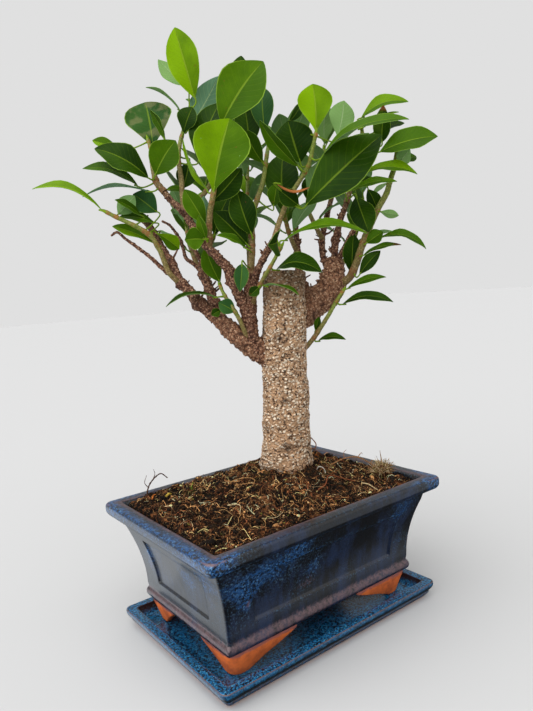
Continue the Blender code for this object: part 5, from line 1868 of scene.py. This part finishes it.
def is_clear(leaf: Leaf, placed: list[tuple[Leaf, BVHTree, BVHTree]], stems: Sequence[Stem]) -> bool:
    """Whether a leaf clears the stems of other pieces and the leaves already placed.

    Args:
        leaf: The leaf.
        placed: The leaves already placed, each with what has to be cleared.
        stems: The stems.

    Returns:
        Whether it touches none of them.
    """
    whole = search_tree(*leaf.lens(LEAF_MARGIN))
    blade = search_tree(*leaf.lens(LEAF_MARGIN, True))
    for stem in stems:
        if stem is not leaf.shoot and whole.overlap(stem.search):
            return False
    for other, other_whole, other_blade in placed:
        if other.shoot is leaf.shoot:
            if blade.overlap(other_blade):
                return False
        elif whole.overlap(other_whole):
            return False
    return True


def place_leaves(leaves: Sequence[Leaf], stems: Sequence[Stem]) -> list[Leaf]:
    """Move or turn each leaf until it clears the earlier ones; one with no room is left out.

    Args:
        leaves: The leaves, in the order they are placed.
        stems: The stems they have to clear.

    Returns:
        The leaves that found room, where they found it.
    """
    placed: list[tuple[Leaf, BVHTree, BVHTree]] = []
    for leaf in leaves:
        trials = (leaf.moved(depth, roll) for roll in ROLL_TRIALS for depth in DEPTH_TRIALS)
        found = next((trial for trial in trials if is_clear(trial, placed, stems)), None)
        if found:
            placed.append((found, search_tree(*found.lens(LEAF_MARGIN)),
                           search_tree(*found.lens(LEAF_MARGIN, True))))
    return [entry[0] for entry in placed]


@dataclass
class Trunk:
    """The trunk: pebbled bark, knots, and a flat dark cut at its top."""

    stem: Stem
    sides: int = 168
    step: float = 0.55
    # Knots: turn round the trunk in degrees (-90 is the front), height, size, rise, darkness.
    knots: tuple[Row, ...] = (
        (-102, 69, 3.4, 0.7, 1.0), (-93, 35, 2.6, 0.6, 1.0), (-125, 57, 3.6, 0.8, 0.3),
        (-80, 14, 4.6, 1.1, 0.3), (-92, 8, 3.4, -0.6, 0.9), (-40, 44, 3.6, 0.8, 0.3), (40, 30, 4.0, 1.0, 0.4),
        (120, 60, 4.5, 1.2, 0.4),
        (-150, 22, 3.5, 0.8, 0.3), (75, 80, 4.0, 0.9, 0.5), (-60, 88, 3.0, 0.6, 0.4))

    def relief(self, place: Vector, out: Vector, radius: float) -> tuple[float, Colour]:
        """The bark's rise and looks at one place.

        Args:
            place: The trunk's centre at that height.
            out: The way outwards.
            radius: The radius there.

        Returns:
            The rise, and the numbers the bark's finish reads.
        """
        p = place + out * radius
        height = p.z
        flat = Vector((p.x * 0.50, p.y * 0.50, height * 0.82))
        distances, _ = noise.voronoi(flat + Vector((0.4, 0.4, 0.3)) * noise.noise(p * 0.5))
        wide = noise.noise(p * 0.11)
        mid = noise.noise(p * 0.33)
        share = ease(noise.noise(p * 0.20 + Vector((7, 3, 1))), -0.80, -0.15)
        pebble = ease(-distances[0], -0.50, -0.24) * share
        crease = ease(distances[0] - distances[1], -0.12, -0.01) * (0.35 + 0.65 * share)
        wrinkle = noise.noise(Vector((p.x * 0.25, p.y * 0.25, height * 1.1)))
        rise = 0.34 * pebble - 0.30 * crease + 0.9 * wide + 0.4 * mid + 0.16 * wrinkle
        turn = math.degrees(math.atan2(out.y, out.x))
        scar = 0.0
        for angle, level, size, lift, dark in self.knots:
            across = math.radians((turn - angle + 180) % 360 - 180) * radius
            far = math.hypot(across, (height - level) * 1.25) / size
            if far < 2.2:
                rise += lift * (math.exp(-(far - 0.75) ** 2 * 6) - 0.55 * math.exp(-far * far * 6)
                                + 0.5 * math.exp(-far * far))
                scar += dark * math.exp(-far * far * 3.4) + 0.35 * dark * math.exp(-(far - 1.1) ** 2 * 30)
        top = ease(height, 84, 101)
        rise *= 1 - 0.5 * top
        root = ease(-height, -6, 4)
        rise += root * 1.5 * max(0.0, math.sin(math.radians(turn) * 4 + 0.8)) ** 2
        rise += 1.2 * math.exp(-((height - 55) / 6) ** 2) * math.exp(-((turn + 168) % 360 / 30) ** 2)
        return rise, (pebble * (1 - 0.6 * top), min(1.0, scar + 0.25 * root), crease, top)

    def build(self) -> None:
        """Make the trunk."""
        path = smooth_path(self.stem.points, self.step)
        radii = [self.stem.trunk_radius(p.z) for p in path]
        bark: list[Colour] = []

        def rise(i: int, place: Vector, out: Vector) -> float:
            """The rise, with the bark's numbers noted on the way."""
            lift, held = self.relief(place, out, radii[i])
            bark.append(held)
            return lift

        verts, faces = tube(path, radii, self.sides, 0.0, rise)
        last = verts[-self.sides:]
        faces.pop()
        centre = path[-1]
        rings = [last]
        for share, drop in ((0.965, -0.35), (0.90, -0.2), (0.80, 0.35), (0.62, 0.5), (0.42, 0.35),
                            (0.2, 0.55), (0.03, 0.4)):
            rings.append([centre + (p - centre) * share
                          - Vector((0, 0, drop + 0.35 * noise.noise(p * 0.3 * share))) for p in last])
            bark += [(0.0, ease(-share, -0.95, -0.86) * 0.8, 0.0, 1.0)] * self.sides
        cap_verts, cap_faces = loft(rings)
        start = len(verts) - self.sides
        faces += [tuple(start + i for i in f) for f in cap_faces[:-2] + cap_faces[-1:]]
        verts += cap_verts[self.sides:]
        shape = Shape("trunk_with_bark", 60)
        shape.add([TREE @ v for v in verts], faces, bark=bark)
        shape.make(Bark().build(), "bark", "trunk")


@dataclass
class Branch:
    """A limb, branch, twig or shoot stem with its bark."""

    stem: Stem
    slot: str
    age: tuple[float, float]
    rough: float
    feet: tuple[Vector, ...] = ()
    knots: int = 0
    node_gap: float = 5.5
    lobes: int = 0
    slim: float = 1.0
    spurs: int = 0

    def build(self, material: bpy.types.Material) -> None:
        """Make the branch.

        Args:
            material: Its finish.
        """
        thick = max(self.stem.ends) > 4
        path = smooth_path(self.stem.points, BARK_STEP)
        radii = [r * self.slim for r in self.stem.radii_for(path)]
        last = len(path) - 1
        wood: list[Colour] = []
        seed = sum(ord(c) for c in self.stem.name)
        rng = np.random.default_rng(seed)
        spots = [(float(rng.uniform(0.12, 0.92)), Vector(rng.normal(size=3)).normalized(),
                  float(rng.uniform(0.8, 1.6))) for _ in range(self.knots)]
        scars = []
        for foot in self.feet:
            at = min(range(last + 1), key=lambda i: (path[i] - foot).length)
            way = foot - path[at]
            scars.append((at, way.normalized() if way.length > 0.1 else Vector((0, 0, 1))))
        collar = 0.25 if self.stem.name.startswith("branch") else 0.10

        def rise(i: int, place: Vector, out: Vector) -> float:
            """The rise at one place, with the bark's numbers noted on the way.

            Args:
                i: The place's number along the path.
                place: The centre there.
                out: The way outwards.

            Returns:
                How far the bark rises.
            """
            r = radii[i]
            p = place + out * r
            lumps = 0.22 * noise.noise(p * (0.9 / max(0.9, r) + 0.12)) + 0.10 * noise.noise(p * 1.3)
            lift = r * self.rough * lumps
            lift += self.rough * 0.16 * noise.noise(p * 2.6)
            ringed = math.cos(math.tau * (i * BARK_STEP / self.node_gap + 0.3 * noise.noise(place * 0.15)))
            lift += r * self.rough * (0.03 if thick else 0.12) * max(0.0, ringed) ** 3
            if thick:
                lift += 0.35 * ease(-noise.voronoi(p * 0.55)[0][0], -0.5, -0.2)
            if self.lobes:
                turn = math.atan2(out.y, out.x + out.z * 0.5)
                lift += r * (0.13 * math.cos(self.lobes * turn + i * 0.02) - 0.10)
            lift += r * collar * math.exp(-i * BARK_STEP / (1.6 * r))
            scar = 0.0
            for at, way in scars:
                near = math.exp(-((i - at) * BARK_STEP / 1.3) ** 2)
                lift += 0.26 * near * (0.5 + 0.8 * max(0.0, out.dot(way)))
                scar = max(scar, near)
            for share, way, size in spots:
                run = (i - share * last) * BARK_STEP / (size * 0.8 * r)
                side = (1 - out.dot(way)) * 1.4
                bump = math.exp(-run * run - side * side)
                lift += (0.20 if thick else 0.34) * r * size * bump
                scar = max(scar, 0.6 * bump)
            age = self.age[0] + (self.age[1] - self.age[0]) * (i / last)
            wood.append((age, self.rough, min(1.0, scar), 1.0))
            return lift

        sides = 40 if thick else 16
        verts, faces = tube(path, radii, sides, 0.0, rise, 0.55)
        wood += [wood[-1]] * (3 * sides)
        shape = Shape(f"{self.stem.name}_wood", 60)
        shape.add([TREE @ v for v in verts], faces, wood=wood)
        for _ in range(self.spurs):
            i = int(rng.integers(last // 6, last - 2))
            out = (path[i + 1] - path[i]).normalized().cross(Vector(rng.normal(size=3))).normalized()
            self.add_spur(shape, path[i], out, radii[i], rng)
        shape.make(material, self.slot, self.stem.name)

    def add_spur(self, shape: Shape, foot: Vector, out: Vector, radius: float,
                 rng: np.random.Generator) -> None:
        """Add the short stub that a lost twig or leaf leaves behind.

        Args:
            shape: What it is added to.
            foot: The branch's centre.
            out: The way outwards.
            radius: The branch's radius there.
            rng: Where its size comes from.
        """
        reach = radius * 0.8 + float(rng.exponential(1.3)) + 0.5
        lean = Vector((0, 0, float(rng.uniform(0.1, 0.8))))
        path = [foot + (out + lean * t) * reach * t for t in (0.2, 0.55, 0.8, 1.0)]
        thick = float(rng.uniform(0.35, 0.75)) * min(1.0, radius / 2)
        verts, faces = tube(path, [thick * s for s in (1.5, 1.15, 0.95, 0.8)], 7, dome=0.4)
        bark = (1.0, 1.0, float(rng.uniform(0.2, 0.8)), 1.0)
        shape.add([TREE @ v for v in verts], faces, wood=[bark] * len(verts))


@dataclass
class Tree:
    """The whole tree."""

    seed: int = 11

    def build(self) -> None:
        """Make the trunk, the branches, and the shoots with their leaves."""
        wood = [Stem(name, ends, points, sides) for name, sides, ends, points in WOOD]
        shoots, leaves = [], []
        for name, ends, points, rows in SHOOTS:
            stem = Stem(name, ends, points)
            shoots.append(stem)
            leaves += [Leaf(stem, *row, look=LOOKS[name][i]) for i, row in enumerate(rows)]
        for name, ends, points, (count, first, length) in BACK_SHOOTS:
            stem = Stem(name, ends, points)
            shoots.append(stem)
            leaves += back_leaves(stem, count, first, length)
        leaves = place_leaves(leaves, wood + shoots)
        LOG.info("%d leaves placed", len(leaves))
        Trunk(wood[0]).build()
        limb_bark = Wood("limb_bark", brown=paint(158, 110, 80), dark=paint(62, 38, 26),
                         dot=paint(222, 186, 152), dot_scale=0.6).build()
        twig_bark = Wood().build()
        for stem in wood[1:]:
            thick = stem.name.startswith("limb")
            dead = stem.name.startswith(("twig", "stub"))
            Branch(stem, "bark" if thick else "twig_bark", (1.0, 0.9 if thick or dead else 0.72),
                   1.0, knots=12 if thick else 9, lobes=3 * thick, slim=0.80 if thick else 0.92,
                   spurs=0 if dead else 16).build(limb_bark if thick else twig_bark)
        green = Wood("green_stem_bark").build()
        skin = LeafSkin().build()
        rng = np.random.default_rng(self.seed)
        for stem in shoots:
            own = [leaf for leaf in leaves if leaf.shoot is stem]
            feet = tuple(stem.nearest(leaf.foot) for leaf in own)
            Branch(stem, "leaf_green", (0.62, 0.0), 0.35, feet).build(green)
            shape = Shape(f"{stem.name}_leaves", 50)
            for leaf in own:
                leaf.grow(shape, rng)
            self.add_bud(shape, stem)
            shape.make(skin, "leaf_green", stem.name)

    @staticmethod
    def add_bud(shape: Shape, stem: Stem) -> None:
        """Add the pointed bud at the tip of a shoot.

        Args:
            shape: What it is added to.
            stem: The shoot's stem.
        """
        tip, before = stem.path[-1], stem.path[-2]
        way = (tip - before).normalized()
        size = 3.4
        path = [tip + way * size * t for t in (-0.1, 0.15, 0.4, 0.65, 0.85, 1.0)]
        radii = [stem.ends[1] * 0.95 * s for s in (0.9, 1.0, 0.86, 0.55, 0.28, 0.05)]
        verts, faces = tube(path, radii, 8)
        shape.add([TREE @ v for v in verts], faces, blade=[(0.5, 0.1, 0.0, 1.0)] * len(verts),
                  look=[(0.8, 0.0, 0.0, 0.3)] * len(verts))


# --- dry things on the soil -------------------------------------------------------------------
@dataclass
class Litter:
    """The dry roots and the tuft that lie on the soil."""

    bed: SoilBed
    tuft_at: tuple[float, float] = (57.0, -27.0)
    tuft_size: tuple[float, float, float] = (6.5, 5.0, 4.0)

    def level(self, x: float, y: float, up: float) -> Vector:
        """A place at a height above the soil."""
        return Vector((x, y, self.bed.base_height(x, y) + up))

    def build_roots(self, material: bpy.types.Material) -> None:
        """Make the three dry roots, with their side hairs.

        Args:
            material: What they are made of.
        """
        tan, dark, rust = paint(168, 120, 78), paint(74, 46, 32), paint(142, 86, 54)
        rows = (
            ("root_back_left", 0.8, dark, (
                ((-57, 38, 0.2), (-54, 41, 5), (-50, 43, 8), (-46, 41, 10), (-43, 39, 7)),
                ((-54, 41, 5), (-55, 43, 8), (-53, 44, 11)),
                ((-50, 43, 8), (-48, 44, 11), (-49, 43, 14)))),
            ("root_curl", 0.8, rust, (
                ((38, 15, 0.4), (42, 18, 6), (48, 19, 5), (52, 22, 9), (49, 25, 14), (45, 23, 12)),
                ((42, 18, 6), (39, 19, 9), (41, 21, 12), (44, 20, 11)),
                ((48, 19, 5), (50, 16, 3), (52, 15, 0.4)))),
            ("root_arch", 0.8, tan, (
                ((40, -4, 0.6), (46, -9, 6), (53, -13, 8), (58, -18, 5), (60, -22, 0.6)),
                ((46, -9, 6), (48, -7, 9), (51, -6, 10)), ((53, -13, 8), (57, -12, 10), (60, -10, 8)),
                ((58, -18, 5), (61, -17, 6), (62, -14, 4)))),
        )
        for name, radius, shade, strands in rows:
            shape = Shape(f"{name}_fibre", 70)
            for k, points in enumerate(strands):
                self.bed.strand(shape, [self.level(*p) for p in points], radius * (0.55 if k == 0 else 0.3),
                                shade, 0.35 if k == 0 else 0.6)
            shape.make(material, "dry_wood", name)

    def build_tuft(self, material: bpy.types.Material) -> None:
        """Make the tuft: a lumpy heart, and fibres that stand out of it.

        Args:
            material: What it is made of.
        """
        rng = np.random.default_rng(23)
        x, y = self.tuft_at
        centre = self.level(x, y, self.tuft_size[2] - 0.8)
        shades = [paint(*c) for c in ((158, 122, 82), (196, 164, 118), (118, 80, 52), (136, 124, 72),
                                      (216, 194, 156))]
        shape = Shape("dry_tuft_fibre", 75)
        bm = bmesh.new()
        bmesh.ops.create_icosphere(bm, subdivisions=4, radius=1.0)
        heart = []
        for v in bm.verts:
            swell = 0.80 + 0.22 * noise.noise(v.co * 2.4) + 0.12 * noise.noise(v.co * 6)
            heart.append(centre + Vector([v.co[k] * self.tuft_size[k] * swell for k in range(3)]))
        faces = [tuple(v.index for v in f.verts) for f in bm.faces]
        bm.free()
        shape.add(heart, faces, tint=[paint(92, 62, 40)] * len(heart))
        for _ in range(420):
            way = Vector(rng.normal(size=3))
            way.z = abs(way.z) * 0.8
            way.normalize()
            base = centre + Vector([way[k] * self.tuft_size[k] * 0.7 for k in range(3)])
            swirl = Vector(rng.normal(size=3)).normalized()
            reach = float(rng.uniform(1.2, 4.2))
            points = [base, base + way * reach * 0.4 + swirl * 0.5, base + way * reach * 0.7 + swirl * 1.5,
                      base + way * reach * 0.8 + swirl * float(rng.uniform(1.5, 3.2))]
            radius = float(rng.uniform(0.12, 0.24))
            self.bed.strand(shape, points, radius, shades[int(rng.integers(len(shades)))])
        spike = centre + Vector((1.0, 0.6, 2.0))
        self.bed.strand(shape, [spike, spike + Vector((1.2, 1.0, 4)), spike + Vector((1.0, 1.4, 9))], 0.45,
                        paint(150, 110, 68), 0.7)
        wisp = centre + Vector((4.5, 0.5, 0.5))
        self.bed.strand(shape, [wisp, wisp + Vector((2.0, -1.5, 2)), wisp + Vector((2.8, -3.4, 3.6))], 0.35,
                        paint(206, 182, 142), 0.6)
        shape.make(material, "dry_wood", "dry_tuft")

    def build(self) -> None:
        """Make the roots and the tuft."""
        dry = Tinted("dry_root", 0.85).build()
        self.build_roots(dry)
        self.build_tuft(dry)


# --- stage ------------------------------------------------------------------------------------
@dataclass
class Stage:
    """The floor, the soft light and the camera."""

    floor_half: float = 6000.0
    camera_at: Row = (-0.1891, -0.2556, 0.1782)
    azimuth: float = -36.83
    down: float = 6.26
    roll: float = -4.25
    lens: float = 30.39
    backdrop: Colour = paint(224, 224, 224)

    def build_floor(self) -> None:
        """Lay the floor under the model; it isn't seen in reflections."""
        low = CAD_BOX[0][2] / MM
        h = self.floor_half
        mesh = bpy.data.meshes.new("floor")
        corners = ((-h, -h, low), (h, -h, low), (h, h, low), (-h, h, low))
        mesh.from_pydata([Vector(c) * MM for c in corners], [], [(0, 1, 2, 3)])
        mesh.materials.append(Floor().build())
        item = bpy.data.objects.new("floor", mesh)
        bpy.context.scene.collection.objects.link(item)
        item.visible_glossy = False

    def build_light(self) -> None:
        """Light the model from a procedural sky of soft boxes."""
        world = bpy.data.worlds.new("soft_light")
        world.use_nodes = True
        world.node_tree.nodes.clear()
        g = Graph(world.node_tree)
        way = g.vector("NORMALIZE", g.node("ShaderNodeTexCoord").outputs["Generated"]).outputs[0]
        height = Value(g, g.node("ShaderNodeSeparateXYZ", None, {0: way}).outputs[2])

        def lobe(direction: Row, low: float, high: float) -> Value:
            """How near the sky's direction is to one direction, as a smooth step."""
            dot = g.vector("DOT_PRODUCT", way, tuple(Vector(direction).normalized())).outputs["Value"]
            return Value(g, dot).ease(low, high)

        above = height.ease(-0.02, 0.02)
        sky = 0.36 + lobe((-0.55, -0.15, 0.80), 0.35, 0.98) * 2.1 + lobe((0.6, -0.7, 0.5), 0.75, 0.98) * 0.4
        window = lobe((-0.78, 0.60, -0.30), 0.35, 0.95) * 1.25
        panel = lobe((0.62, -0.72, -0.20), 0.84, 0.99) * 0.55
        strength = sky * above + (0.05 + window + panel) * (1.0 - above)
        cool = g.mix(above, (0.90, 0.95, 1.0, 1.0), (1.0, 0.99, 0.97, 1.0))
        light = g.node("ShaderNodeBackground", None, {0: cool, 1: strength})
        plain = g.node("ShaderNodeBackground", None, {0: self.backdrop, 1: 1.0})
        seen = g.node("ShaderNodeLightPath").outputs["Is Camera Ray"]
        both = g.node("ShaderNodeMixShader", None, {0: seen, 1: light.outputs[0], 2: plain.outputs[0]})
        g.node("ShaderNodeOutputWorld", None, {0: both.outputs[0]})
        bpy.context.scene.world = world

    def build_camera(self) -> None:
        """Set the camera up."""
        az, el, roll = (math.radians(a) for a in (self.azimuth, self.down, self.roll))
        back = Vector((math.sin(az) * math.cos(el), -math.cos(az) * math.cos(el), math.sin(el)))
        right = Vector((math.cos(az), math.sin(az), 0.0))
        up = back.cross(right)
        turned_right = math.cos(roll) * right + math.sin(roll) * up
        turned_up = -math.sin(roll) * right + math.cos(roll) * up
        data = bpy.data.cameras.new("camera")
        data.lens = self.lens
        data.sensor_width = 36.0
        data.clip_start = 0.01
        item = bpy.data.objects.new("camera", data)
        turn = Matrix((turned_right, turned_up, back)).transposed()
        item.matrix_world = Matrix.Translation(self.camera_at) @ turn.to_4x4()
        bpy.context.scene.collection.objects.link(item)
        bpy.context.scene.camera = item

    def build(self) -> None:
        """Make the stage."""
        self.build_floor()
        self.build_light()
        self.build_camera()
        bpy.context.scene.view_settings.view_transform = "Standard"


def main() -> None:
    """Build the model and the stage, and log the face count of each piece and the number of leaves."""
    logging.basicConfig(level=logging.INFO, format="%(message)s", stream=sys.stdout)
    pot = Pot()
    bed = SoilBed(pot)
    Tray().build()
    pot.build()
    bed.build()
    Tree().build()
    Litter(bed).build()
    Stage().build()


if __name__ == "__main__":
    main()
